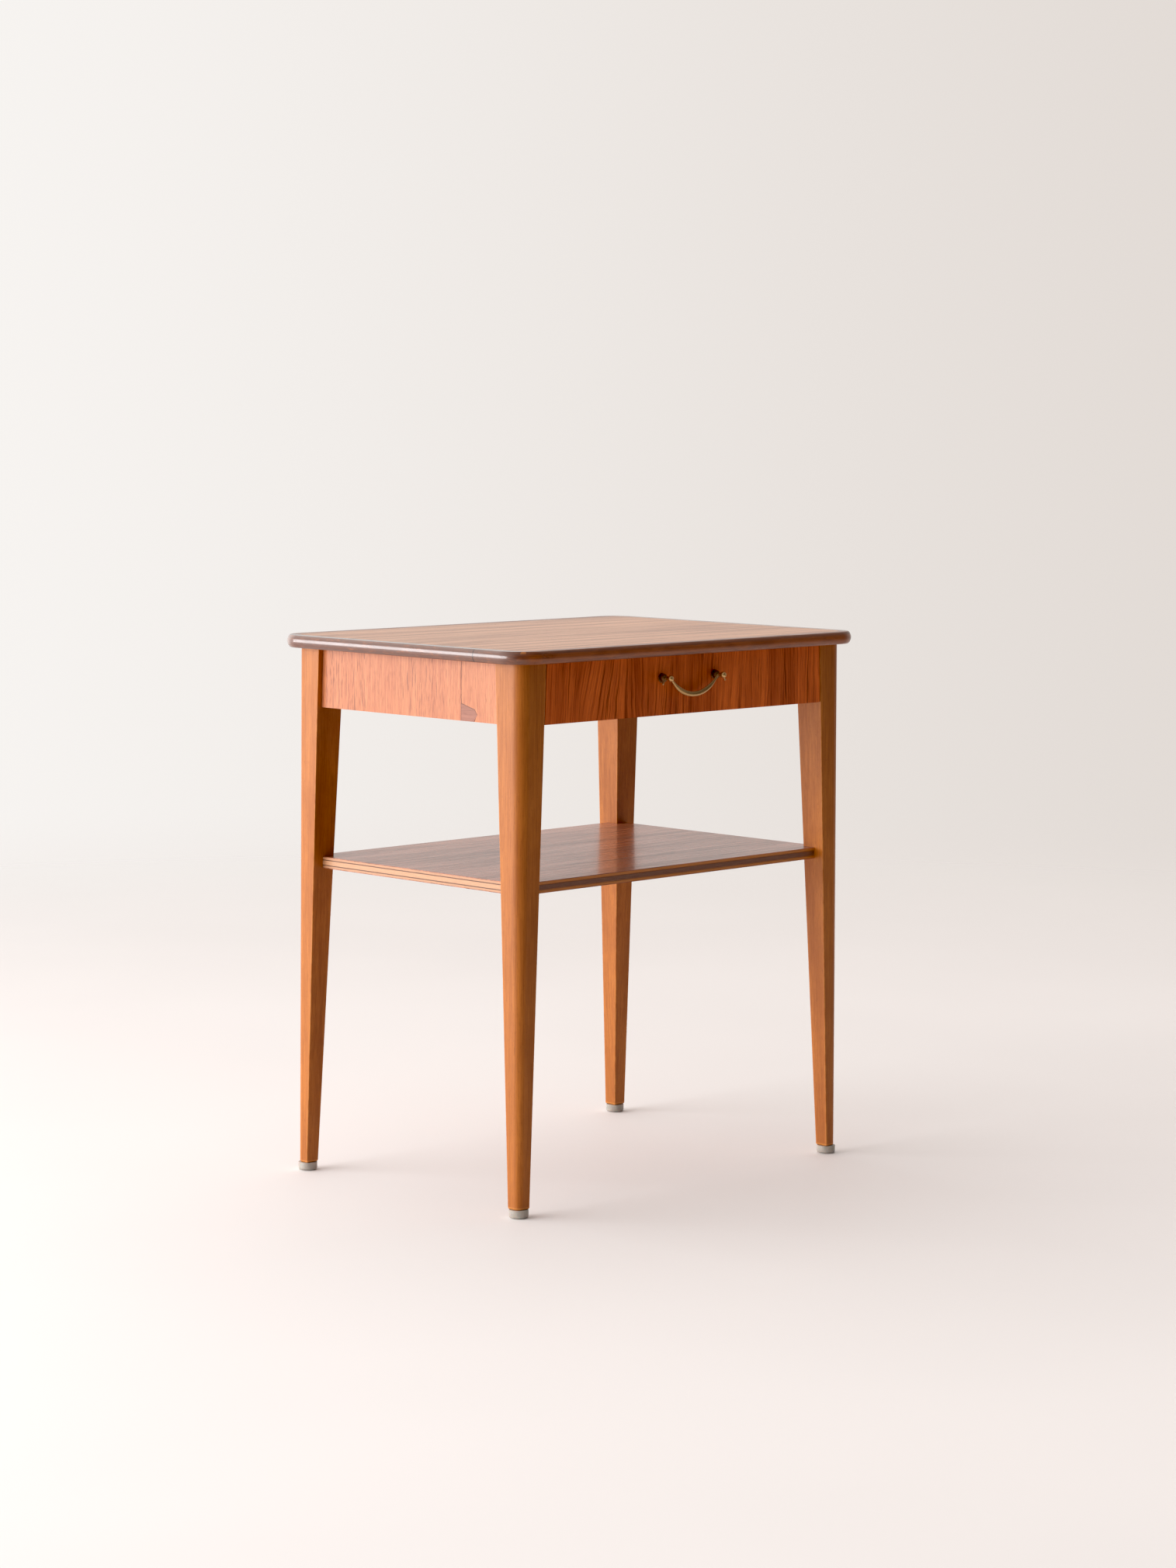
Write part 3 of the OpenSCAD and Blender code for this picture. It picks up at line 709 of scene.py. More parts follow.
class TABLE_OT_lipping(Piece, bpy.types.Operator):
    """Sweep the solid lipping round the top in two strips"""

    bl_idname = "table.lipping"
    bl_label = "Lipping"

    def build(self, sizes, colours):
        lo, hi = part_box("lipping_front")
        thick = hi.z - lo.z
        finish = self.finish(colours, lo, hi, thick)
        profile = self.profile(sizes, thick)
        for end, sign in (("front", -1), ("rear", 1)):
            node = "lipping_" + end
            mesh = swept(self.path(sizes, sign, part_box(node)), profile, sizes.lip_width, thick, finish)
            piece("lipping_strip_" + end, smoothed(mesh, 50), finish, "lipping", "frame", node)

    def path(self, sizes, sign, box):
        """Along one side from the joint, round both corners and back along the other side."""
        lo, hi = box
        r = sizes.corner_r
        w, far, near = hi.x, (lo.y if sign < 0 else hi.y), (hi.y if sign < 0 else lo.y)
        cy = far - sign * r
        straight = lambda a, b, n: [tuple(Vector(a).lerp(Vector(b), t)) for t in np.linspace(0, 1, n)]
        out = [((x, y), (1.0, 0.0)) for x, y in straight((-w, near), (-w, cy), 8)[:-1]]
        for t in np.linspace(0, 90, 25):
            c, s = on_circle(t)
            out.append(((-w + r - r * c, cy + sign * r * s), (c, -sign * s)))
        out += [((x, y), (0.0, -sign * 1.0)) for x, y in straight((-w + r, far), (w - r, far), 14)[1:-1]]
        for t in np.linspace(90, 0, 25):
            c, s = on_circle(t)
            out.append(((w - r + r * c, cy + sign * r * s), (-c, -sign * s)))
        out += [((x, y), (-1.0, 0.0)) for x, y in straight((w, cy), (w, near), 8)[1:]]
        return [((p[0], p[1], lo.z), (n[0], n[1], 0.0), (0.0, 0.0, 1.0)) for p, n in out]

    def profile(self, sizes, thick):
        """From the inner lower edge out, over the swell and back to the inner upper edge."""
        w, swell, ease = sizes.lip_width, sizes.lip_swell, sizes.lip_round
        R = (thick * thick / 4 + swell * swell) / (2 * swell)
        # the rounding touches the swell and the flat face
        cz = thick / 2 - ease
        cx = R - math.sqrt((R - ease) ** 2 - cz ** 2)
        turn = math.degrees(math.atan2(cz, R - cx))
        upper = arc((cx, thick / 2 + cz), ease, 180 - turn, 90, 7)
        lower = arc((cx, thick / 2 - cz), ease, 270, 180 + turn, 7)
        swell_arc = arc((R, thick / 2), R, 180 + turn, 180 - turn, 23)[1:-1]
        outline = [(w, 0.0), (w * 0.6, 0.0)] + lower + swell_arc + upper + [(w * 0.6, thick), (w, thick)]
        return [(x / w, z / thick) for x, z in outline]

    def finish(self, colours, lo, hi, thick):
        f = Finish("lipping_finish", Coat_Roughness=0.13, Specular_IOR_Level=0.4)
        where = f.node("ShaderNodeUVMap", {"uv_map": "UVMap"})
        line = f.spread((6.0, 900.0, 1.0), 1.7, 3.0, 0.6, where)
        patch = f.spread((26.0, 60.0, 1.0), 5.1, 2.0, 0.55, where)
        pore = f.ease(f.spread((110.0, 2600.0, 1.0), 9.2, 1.0, 0.5, where), 0.6, 0.7)
        share = ((line - 0.5) * 2.0 + (patch - 0.5) * 1.2 + 0.45).most(0.0).least(1.0)
        # the lipping is darker and glossier at the ends than at the front and rear,
        # which are rubbed bare at half their height
        end = f.ease(abs(f.x), hi.x - 0.022, hi.x - 0.006)
        level = abs(f.z - (lo.z + hi.z) / 2) / thick
        bare = f.ease(level, 0.16, 0.40, 1.0, 0.0) * (1 - end) * f.ease(patch, 0.34, 0.56)
        tone = f.mix(share, colours.lip_light, colours.lip_dark)
        tone = f.mix(bare * 0.4, tone, colours.lip_bare)
        tone = f.mix(end * 0.85, tone, shade(colours.lip_dark, 0.8))
        tone = f.mix(pore * 0.5, tone, shade(colours.lip_dark, 0.4))
        scuff = f.ease(f.spread((70.0, 420.0, 1.0), 12.4, 3.0, 0.65, where), 0.52, 0.72)
        tone = f.mix(scuff * 0.3, tone, colours.lip_bare)
        # the joint of the two strips, dark with dirt
        seam = f.ease(abs(f.y - hi.y), 0.0003, 0.0010, 1.0, 0.0)
        tone = f.mix(seam * 0.9, tone, shade(colours.lip_dark, 0.2))
        # a chip on the near corner's upper arris
        cx, cy = lo.x + 0.0118, lo.y + 0.0085
        spot = (((f.x - cx) / 0.0042) ** 2 + ((f.y - cy) / 0.0026) ** 2) ** 0.5 + (patch - 0.5) * 1.2
        tone = f.mix(f.ease(spot, 0.7, 1.0, 0.8, 0.0) * f.ease(f.z, hi.z - 0.003, hi.z - 0.001), tone,
            colours.leg_light)
        rough = 0.27 + 0.16 * f.ease(patch, 0.3, 0.7) + 0.1 * pore
        height = (line * 0.5 - pore * 0.5) * 0.00006 + patch * 0.0005
        return f.feed(Base_Color=tone, Roughness=rough, Coat_Weight=0.25 + 0.75 * end, height=height)


class TABLE_OT_legs(Piece, bpy.types.Operator):
    """Loft the four tapered legs and cut their housings, dowel holes and mortises"""

    bl_idname = "table.legs"
    bl_label = "Legs"

    def build(self, sizes, colours):
        finish = self.finish(sizes, colours)
        for sx, sy, name in SIDES:
            node = "leg_" + name
            mesh = cut(self.body(sizes, sx, sy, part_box(node)), *self.tools(sx, sy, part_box(node)))
            piece("tapered_leg_" + name, smoothed(mesh), finish, "leg_wood", "frame", node)

    def section(self, side, outer, arris, inset=0.0):
        """The leg's section, from the outer corner inwards, anticlockwise."""
        s, r, a, e = side - 2 * inset, max(outer - inset, arris), arris, 0.0012
        points = arc((r, r), r, 180, 270, 15) + [(s - a - e, 0.0)] + arc((s - a, a), a, 270, 360, 4)
        points += [(s, a + e), (s, s - a - e)] + arc((s - a, s - a), a, 0, 90, 4)
        points += [(s - a - e, s), (a + e, s)] + arc((a, s - a), a, 90, 180, 4) + [(0.0, s - a - e)]
        return [(u + inset, v + inset) for u, v in points]

    def body(self, sizes, sx, sy, box):
        lo, hi = box
        ox, oy = (lo.x if sx < 0 else hi.x), (lo.y if sy < 0 else hi.y)
        top = hi.x - lo.x
        c = sizes.foot_chamfer
        rings = []
        levels = [(lo.z, c), (lo.z + c * 0.5, c * 0.32), (lo.z + c, 0.0)] + [(z, 0.0)
            for z in np.linspace(lo.z + 3 * c, hi.z, 12)]
        for z, inset in levels:
            t = (z - lo.z) / (hi.z - lo.z)
            side = sizes.leg_foot + (top - sizes.leg_foot) * t
            outer = sizes.leg_round_foot + (sizes.leg_round_top - sizes.leg_round_foot) * t
            rings.append([
                (ox - sx * u, oy - sy * v, z) for u, v in self.section(side, outer, sizes.leg_arris, inset)])
        return loft(rings)

    def tools(self, sx, sy, box):
        """What is cut out of a leg: the shelf's housing, dowel holes, the rail's mortise and the glide's nail hole."""
        lo, hi = box
        side = hi.x - lo.x
        inner = lambda a, s: sorted((a + s * FIT, a - s * side))
        shelf_lo, shelf_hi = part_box("shelf_core")
        under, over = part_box("shelf_veneer_under")[0].z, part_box("shelf_veneer_top")[1].z
        (xa, xb), (ya, yb) = (
            inner(shelf_lo.x if sx < 0 else shelf_hi.x, sx), inner(shelf_lo.y if sy < 0 else shelf_hi.y, sy))
        tools = [block((xa, ya, under - FIT), (xb, yb, over + FIT))]
        meets = lambda b: all(b[0][i] < hi[i] and b[1][i] > lo[i] for i in range(3))
        for b in filter(meets, solids("apron_dowels")):
            way = longest(b)
            start, end = middle(b), middle(b)
            start[way], end[way] = b[0][way] - 0.0003, b[1][way] + 0.0003
            tools.append(rod(start, end, DOWEL_R + FIT))
        for b in filter(meets, solids("glide_nails")):
            c = middle(b)
            tools.append(rod((c.x, c.y, lo.z - 0.001), (c.x, c.y, b[1].z + 0.0003), NAIL_R + FIT, 24))
        if sy < 0:
            rail = frame["nodes"]["front_rail"].data
            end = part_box("front_rail")[0 if sx < 0 else 1].x
            face = np.array([v.co for v in rail.vertices if abs(v.co.x - end) < 1e-5])
            ya, za, yb, zb = *face.min(0)[1:], *face.max(0)[1:]
            xa, xb = sorted((end + sx * FIT, end - sx * 0.02))
            tools.append(block((xa, ya - FIT, za - FIT), (xb, yb + FIT, zb + FIT)))
        return tools

    def finish(self, sizes, colours):
        f, tone, rough, height = wood("leg_wood_finish", colours.leg_light, colours.leg_dark, 2, 31.0,
            bands=55.0, lines=520.0, gains=(1.2, 1.3, 1.0), pores=0.3, gloss=0.36, reach=9.0, coat=0.05,
            relief=0.00003, shine=0.3)
        cloud = f.spread((38.0, 38.0, 16.0), 41.0, 3.0, 0.6)
        tone = f.mix(f.ease(cloud, 0.36, 0.7) * 0.4, tone, colours.leg_dark)
        fleck = f.ease(f.spread((900.0, 900.0, 230.0), 47.0, 1.0, 0.5), 0.62, 0.72)
        tone = f.mix(fleck * 0.28, tone, shade(colours.leg_dark, 0.6))
        # worn edges: where two faces of the tapered section meet, and round the foot
        lo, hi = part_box("leg_front_left")
        wide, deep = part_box("leg_front_right")[1].x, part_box("leg_rear_left")[1].y
        u, v = wide - abs(f.x), deep - abs(f.y)
        rate = (hi.x - lo.x - sizes.leg_foot) / (hi.z - lo.z)
        side = (f.z - lo.z) * rate + sizes.leg_foot
        close = lambda d: f.ease(d, 0.0004, 0.0021, 1.0, 0.0)
        pu, pv, qu, qv = close(u), close(v), close(side - u), close(side - v)
        edge = (qu * qv).most((qu * pv).most(pu * qv))
        foot = f.ease(f.z, lo.z + 0.0016, lo.z + 0.0032, 1.0, 0.0)
        rub = f.ease(f.spread((160.0, 160.0, 60.0), 53.0, 2.0, 0.6), 0.36, 0.6)
        tone = f.mix(edge * rub * 0.42 + foot * 0.6, tone, colours.leg_worn)
        return f.feed(Base_Color=tone, Roughness=rough + 0.06 * cloud, height=height)


class TABLE_OT_glides(Piece, bpy.types.Operator):
    """Set the four turned glides and their nails"""

    bl_idname = "table.glides"
    bl_label = "Glides"

    def build(self, sizes, colours):
        boxes = solids("glides")
        tall, wide = boxes[0][1].z - boxes[0][0].z, (boxes[0][1].x - boxes[0][0].x) / 2
        rim, lip = sizes.glide_rim, 0.0006
        profile = [(0.00115, tall)] + arc((wide - lip, tall - lip), lip, 90, 0, 5)
        profile += arc((wide - rim, rim), rim, 0, -90, 11) + [(0.0033, 0.0), (0.003, 0.0003), (0.003, 0.0026),
            (0.00115, 0.0026)]
        f = Finish("glide_finish", Specular_IOR_Level=0.45, Subsurface_Weight=0.25, Subsurface_Scale=0.003)
        cloud = f.spread((160.0, 160.0, 160.0), 3.0, 3.0, 0.6)
        ring = f.spread((120.0, 120.0, 1400.0), 6.0, 2.0, 0.6)
        low = f.ease(f.z, 0.0, 0.003, 1.0, 0.0)
        tone = f.mix(f.ease(cloud, 0.35, 0.7) * 0.5 + low * 0.35, colours.glide, shade(colours.glide, 0.6))
        f.feed(Base_Color=tone, Roughness=0.42 + 0.2 * ring, height=ring * 0.00005)
        spots = [((middle(b).x, middle(b).y, b[0].z), (0, 0, 1)) for b in boxes]
        piece("glide_discs", smoothed(copies(lathe(profile, 56, True), spots, f, FULL_SPIN, 3)), f,
            "glide_plastic", "frame", "glides")
        nails = solids("glide_nails")
        long = nails[0][1].z - nails[0][0].z
        model = lathe([(0, 0), (0.0024, 0.0001), (0.0028, 0.0004), (0.0028, 0.0008), (0.0025, 0.0011),
            (0.0011, 0.0013), (0.0011, long - 0.0026), (0.0002, long - 0.0001), (0, long)], 28)
        spots = [((middle(b).x, middle(b).y, b[0].z), (0, 0, 1)) for b in nails]
        piece("glide_pins", smoothed(copies(model, spots, dull_steel(colours), FULL_SPIN, 5)),
            dull_steel(colours), "steel", "frame", "glide_nails")


def dull_steel(colours):
    """Dull steel, made once."""
    known = made_before("steel_finish")
    if known:
        return known
    f = Finish("steel_finish", Metallic=1.0)
    spot = f.spread((900.0, 900.0, 900.0), 2.0, 3.0, 0.6)
    tone = f.mix(f.ease(spot, 0.4, 0.7) * 0.6, colours.steel, shade(colours.steel, 0.35))
    return f.feed(Base_Color=tone, Roughness=0.3 + 0.25 * spot, height=spot * 0.00003)


class TABLE_OT_aprons(Piece, bpy.types.Operator):
    """Finish the veneered aprons and the small patch"""

    bl_idname = "table.aprons"
    bl_label = "Aprons"

    def build(self, sizes, colours):
        for i, node in enumerate(("apron_left_veneer", "apron_right_veneer", "apron_rear_veneer")):
            f, tone, rough, height = wood(node + "_finish", colours.apron_light, colours.apron_dark, 2,
                61.0 + 5 * i, bands=40.0, lines=640.0, gains=(0.5, 1.5, 1.2), pores=0.7, gloss=0.33,
                reach=13.0, coat=0.06, shine=0.26)
            # short dark strokes, close together in places, and a few long ones that rise from the lower edge
            stroke = f.ease(f.grain(2, 900.0, 52.0, 77.0 + i, 2.0, 0.6, f.where), 0.54, 0.66)
            area = f.ease(f.spread((11.0, 11.0, 7.0), 81.0 + 3 * i, 2.0, 0.5), 0.40, 0.60)
            if i == 0:
                area = area.most(
                    f.ease(f.y, 0.045, 0.075) * f.ease(f.y, 0.125, 0.15, 1.0, 0.0) * 0.9
                ) * f.ease(f.y, -0.09, -0.03)
            tone = f.mix(stroke * area * 0.85, tone, shade(colours.apron_dark, 0.5))
            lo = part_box(node)[0]
            long = (
                f.ease(f.grain(2, 420.0, 7.0, 85.0 + i, 1.0, 0.5, f.where), 0.66, 0.72)
                * f.ease(f.z, lo.z + 0.008, lo.z + 0.03, 1.0, 0.0))
            tone = f.mix(long * 0.7, tone, shade(colours.apron_dark, 0.4))
            if i == 0:
                tone, height = self.crack(f, colours, tone, height)
            dress(f.feed(Base_Color=tone, Roughness=rough, height=height), node)
        f, tone, rough, height = wood("patch_finish", colours.patch, shade(colours.patch, 0.6), 1, 90.0,
            bands=60.0, lines=420.0, gloss=0.36, shine=0.22)
        lo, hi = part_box("apron_left_patch")
        wide, tall = hi.y - lo.y, hi.z - lo.z
        back, up = (hi.y - f.y) / wide, (f.z - lo.z) / tall
        # how far inside the patch's sloping upper edges and its upright edge, in metres
        inside = (
            (hi.y - f.y)
            .least((1.0 - back * 0.353 - up) * tall * 0.9)
            .least((0.7 - (back - 0.85) * 1.87 - up) * tall * 0.5))
        tone = f.mix(f.ease(inside, 0.0002, 0.0011, 0.75, 0.0), tone, shade(colours.apron_dark, 0.3))
        dress(f.feed(Base_Color=tone, Roughness=rough, height=height), "apron_left_patch")
        dress(core_wood(colours, "apron_core_finish", 1, 95.0), "apron_left", "apron_right", "apron_rear")

    def crack(self, f, colours, tone, height):
        """A fine crack that runs from the top down to the patch."""
        lo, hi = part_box("apron_left_patch")
        sway = (f.spread((1.0, 1.0, 60.0), 99.0, 3.0, 0.6) - 0.5) * 0.003
        near = abs(f.y - (hi.y - 0.0006) + sway)
        gap = f.ease(near, 0.0002, 0.0010, 1.0, 0.0) * f.ease(f.z, hi.z - 0.001, hi.z, 0.0, 1.0)
        gap = gap * f.ease(f.spread((1.0, 1.0, 140.0), 103.0, 2.0, 0.6), 0.28, 0.42)
        return f.mix(gap * 0.85, tone, shade(colours.apron_dark, 0.35)), height - gap * 0.0002


class TABLE_OT_rails(Piece, bpy.types.Operator):
    """Ease and finish the hidden rails, and set the fluted dowels"""

    bl_idname = "table.rails"
    bl_label = "Rails and Dowels"

    def build(self, sizes, colours):
        for axis, nodes in enumerate((("front_rail", "rear_cleat"),
                ("kicker_left", "kicker_right", "runner_left", "runner_right"), ("drawer_stops",))):
            boards(sizes, colours, axis, "frame", *nodes)
        spots = []
        for b in solids("apron_dowels"):
            way = longest(b)
            long = b[1][way] - b[0][way]
            start, turn = middle(b), Vector((0, 0, 0))
            start[way], turn[way] = b[0][way], 1.0
            spots.append((tuple(start), tuple(turn)))
        c, r = 0.0008, DOWEL_R
        model = lathe([(0, 0), (r - c, 0), (r, c), (r, long - c), (r - c, long), (0, long)], 72, flutes=12,
            depth=0.0004)
        finish = plain_wood(colours, 1)
        piece("fluted_dowels", smoothed(copies(model, spots, finish, FULL_SPIN, 11)), finish, "pale_wood",
            "frame", "apron_dowels")


def plain_wood(colours, axis):
    """Plain, unstained wood with its grain along one axis, made once for each axis."""
    name = "plain_wood_finish_" + "xyz"[axis]
    return made_before(name) or unmarked(name, colours.plain_wood, shade(colours.plain_wood, 0.66), axis,
        120.0 + axis, bands=45.0, lines=380.0, pores=0.3, gloss=0.52, coat=0.0, reach=4.0, wander=0.004)


def boards(sizes, colours, axis, body, *nodes):
    """Plain boards with their edges eased and their grain along one axis."""
    for node in nodes:
        piece(node + "_eased", smoothed(eased(node, sizes.board_arris)), plain_wood(colours, axis),
            "pale_wood", body, node)


class TABLE_OT_shelf(Piece, bpy.types.Operator):
    """Build the shelf: veneered plywood with its plies showing at the edge"""

    bl_idname = "table.shelf"
    bl_label = "Shelf"

    def build(self, sizes, colours):
        f = unmarked("shelf_veneer_finish", colours.shelf_light, colours.shelf_dark, 0, 150.0, bands=40.0,
            lines=300.0, gains=(0.9, 2.4, 1.6), pores=0.6, gloss=0.24, coat=0.33, coat_rough=0.12, shine=0.3)
        dress(f, "shelf_veneer_top")
        self.core(sizes, colours)
        self.underside(f)

    def core(self, sizes, colours):
        lo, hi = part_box("shelf_core")
        tall = hi.z - lo.z
        # share of the height at which each ply starts, from below, and how far it lies back
        plies = [(0.0, 0), (0.20, 1), (0.275, 0), (0.71, 1), (0.785, 0), (1.0, 0)]
        rings, back, soft = [], sizes.ply_groove, 0.00012
        corners = lambda d, z: [(lo.x + d, lo.y + d, z), (hi.x - d, lo.y + d, z), (hi.x - d, hi.y - d, z),
            (lo.x + d, hi.y - d, z)]
        for (start, deep), (end, _) in zip(plies, plies[1:]):
            for z in (lo.z + start * tall + (soft if start else 0.0), lo.z + end * tall
                    - (soft if end < 1 else 0.0)):
                rings.append(corners(back * deep, z))
        mesh = smoothed(loft(rings), 20)
        f = Finish("ply_edge_finish", Coat_Weight=0.25, Coat_Roughness=0.25)
        level = (f.z - lo.z) / tall + (f.spread((24.0, 24.0, 1.0), 3.0, 2.0, 0.5) - 0.5) * 0.03
        band = lambda a, b: f.ease(level, a - 0.008, a + 0.008) * f.ease(level, b - 0.008, b + 0.008, 1.0, 0.0)
        fibre = f.spread((70.0, 70.0, 1900.0), 7.0, 3.0, 0.65)
        ends = f.spread((1500.0, 1500.0, 300.0), 8.0, 2.0, 0.6)
        # the middle ply runs the other way, so it shows its dark ends along the front and rear
        long = f.ease(abs(f.y - (lo.y + hi.y) / 2), (hi.y - lo.y) / 2 - 0.0009, (hi.y - lo.y) / 2 - 0.0004)
        tone = f.mix(long, colours.ply_pale, colours.leg_light)
        tone = f.mix(band(0.275, 0.71), tone, f.mix(long, colours.ply_core, shade(colours.ply_dark, 2.2)))
        tone = f.mix(f.ease(fibre, 0.4, 0.7) * 0.45 + f.ease(ends, 0.5, 0.75) * 0.25, tone,
            shade(colours.ply_pale, 0.55))
        dark = band(0.20, 0.275).most(band(0.71, 0.785))
        tone = f.mix(dark * (0.92 - 0.6 * long), tone, colours.ply_dark)
        f.feed(Base_Color=tone, Roughness=0.38 + 0.2 * fibre, height=fibre * 0.00008 - dark * 0.0001)
        piece("shelf_plywood", mesh, f, "plywood", "frame", "shelf_core")

    def underside(self, finish):
        """The lower veneer, with its edge chipped and split along the sides."""
        lo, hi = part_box("shelf_veneer_under")
        rng = np.random.default_rng(7)
        outline = []
        for (ax, ay), (bx, by), chips in (((lo.x, lo.y), (hi.x, lo.y), 0.25),
                ((hi.x, lo.y), (hi.x, hi.y), 0.5), ((hi.x, hi.y), (lo.x, hi.y), 0.25),
                ((lo.x, hi.y), (lo.x, lo.y), 1.0)):
            length = math.hypot(bx - ax, by - ay)
            n = int(length / 0.0014)
            nx, ny = -(by - ay) / length, (bx - ax) / length
            rough = np.convolve(rng.random(n + 8), np.ones(3) / 3, "same")[4:-4]
            lumps = np.convolve(rng.random(n + 60), np.ones(12) / 12, "same")[30:-30]
            for i in range(n):
                t = i / n
                deep = chips * (
                    max(0.0, rough[i] - 0.55) * 0.0022 + max(0.0, lumps[i] - 0.58) * 0.012) if 0 < i else 0.0
                outline.append((ax + (bx - ax) * t + nx * deep, ay + (by - ay) * t + ny * deep, deep))
        inner = lambda x, y: (x - math.copysign(0.004, x) if abs(abs(x) - hi.x) < 0.004 else x,
            y - math.copysign(0.004, y) if abs(abs(y) - hi.y) < 0.004 else y)
        rows = [[(*inner(x, y), hi.z) for x, y, _ in outline], [(x, y, hi.z) for x, y, _ in outline],
                [(x, y, lo.z - min(0.0005, d * 0.25)) for x, y, d in outline], [(*inner(x, y), lo.z) for x, y,
                    _ in outline]]
        mesh = loft(rows)
        piece("shelf_lower_veneer", smoothed(mesh, 25), finish, "shelf_veneer", "frame", "shelf_veneer_under")


class TABLE_OT_drawer(Piece, bpy.types.Operator):
    """Finish the drawer front and build the eased drawer box"""

    bl_idname = "table.drawer"
    bl_label = "Drawer"

    def build(self, sizes, colours):
        f = Finish("drawer_veneer_finish", Coat_Weight=0.08, Coat_Roughness=0.2, Specular_IOR_Level=0.15)
        # the figure leans over in places: the grain is sheared about the front's middle before it is drawn out
        lo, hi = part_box("drawer_front_veneer")
        lean = (f.spread((11.0, 1.0, 1.0), 171.0, 1.0, 0.5) - 0.5) * 1.1
        sway = (f.spread((30.0, 1.0, 26.0), 172.0, 2.0, 0.5) - 0.5) * 0.006
        sheared = f.node("ShaderNodeCombineXYZ", sockets={0: f.x + (f.z - middle((lo, hi)).z) * lean + sway,
            1: f.y, 2: f.z})
        band = f.grain(2, 46.0, 3.0, 173.0, 2.0, 0.5, sheared)
        line = f.grain(2, 380.0, 9.0, 177.0, 3.0, 0.62, sheared)
        hair = f.grain(2, 1100.0, 30.0, 181.0, 2.0, 0.5, sheared)
        dark = f.ease(f.grain(2, 460.0, 10.0, 187.0, 2.0, 0.6, sheared), 0.55,
            0.65) * f.ease(f.spread((18.0, 1.0, 14.0), 189.0, 1.0, 0.5), 0.34, 0.56)
        pore = f.ease(f.grain(2, 2300.0, 75.0, 191.0, 1.0, 0.5, sheared), 0.60, 0.70)
        share = ((band - 0.5) * 1.5 + (line - 0.5) * 1.8 + (hair - 0.5) * 1.1 + 0.42).most(0.0).least(1.0)
        tone = f.mix(share, colours.drawer_light, colours.drawer_dark)
        tone = f.mix(dark * 0.75, tone, shade(colours.drawer_dark, 0.4))
        tone = f.mix(pore * 0.4, tone, shade(colours.drawer_dark, 0.4))
        dress(
            f.feed(Base_Color=tone, Roughness=0.3 + 0.12 * share, height=(hair * 0.4 - pore * 0.6) * 0.00004),
            "drawer_front_veneer")
        dress(core_wood(colours, "drawer_core_finish", 0, 195.0, 0.55), "drawer_front")
        boards(sizes, colours, 1, "drawer", "drawer_side_left", "drawer_side_right")
        boards(sizes, colours, 0, "drawer", "drawer_back")
        ply = unmarked("bottom_ply_finish", shade(colours.plain_wood, 1.12), shade(colours.plain_wood, 0.72),
            0, 205.0, bands=16.0, lines=160.0, gains=(1.4, 1.2, 0.6), pores=0.2, gloss=0.55, coat=0.0,
            wander=0.01)
        dress(ply, "drawer_bottom")


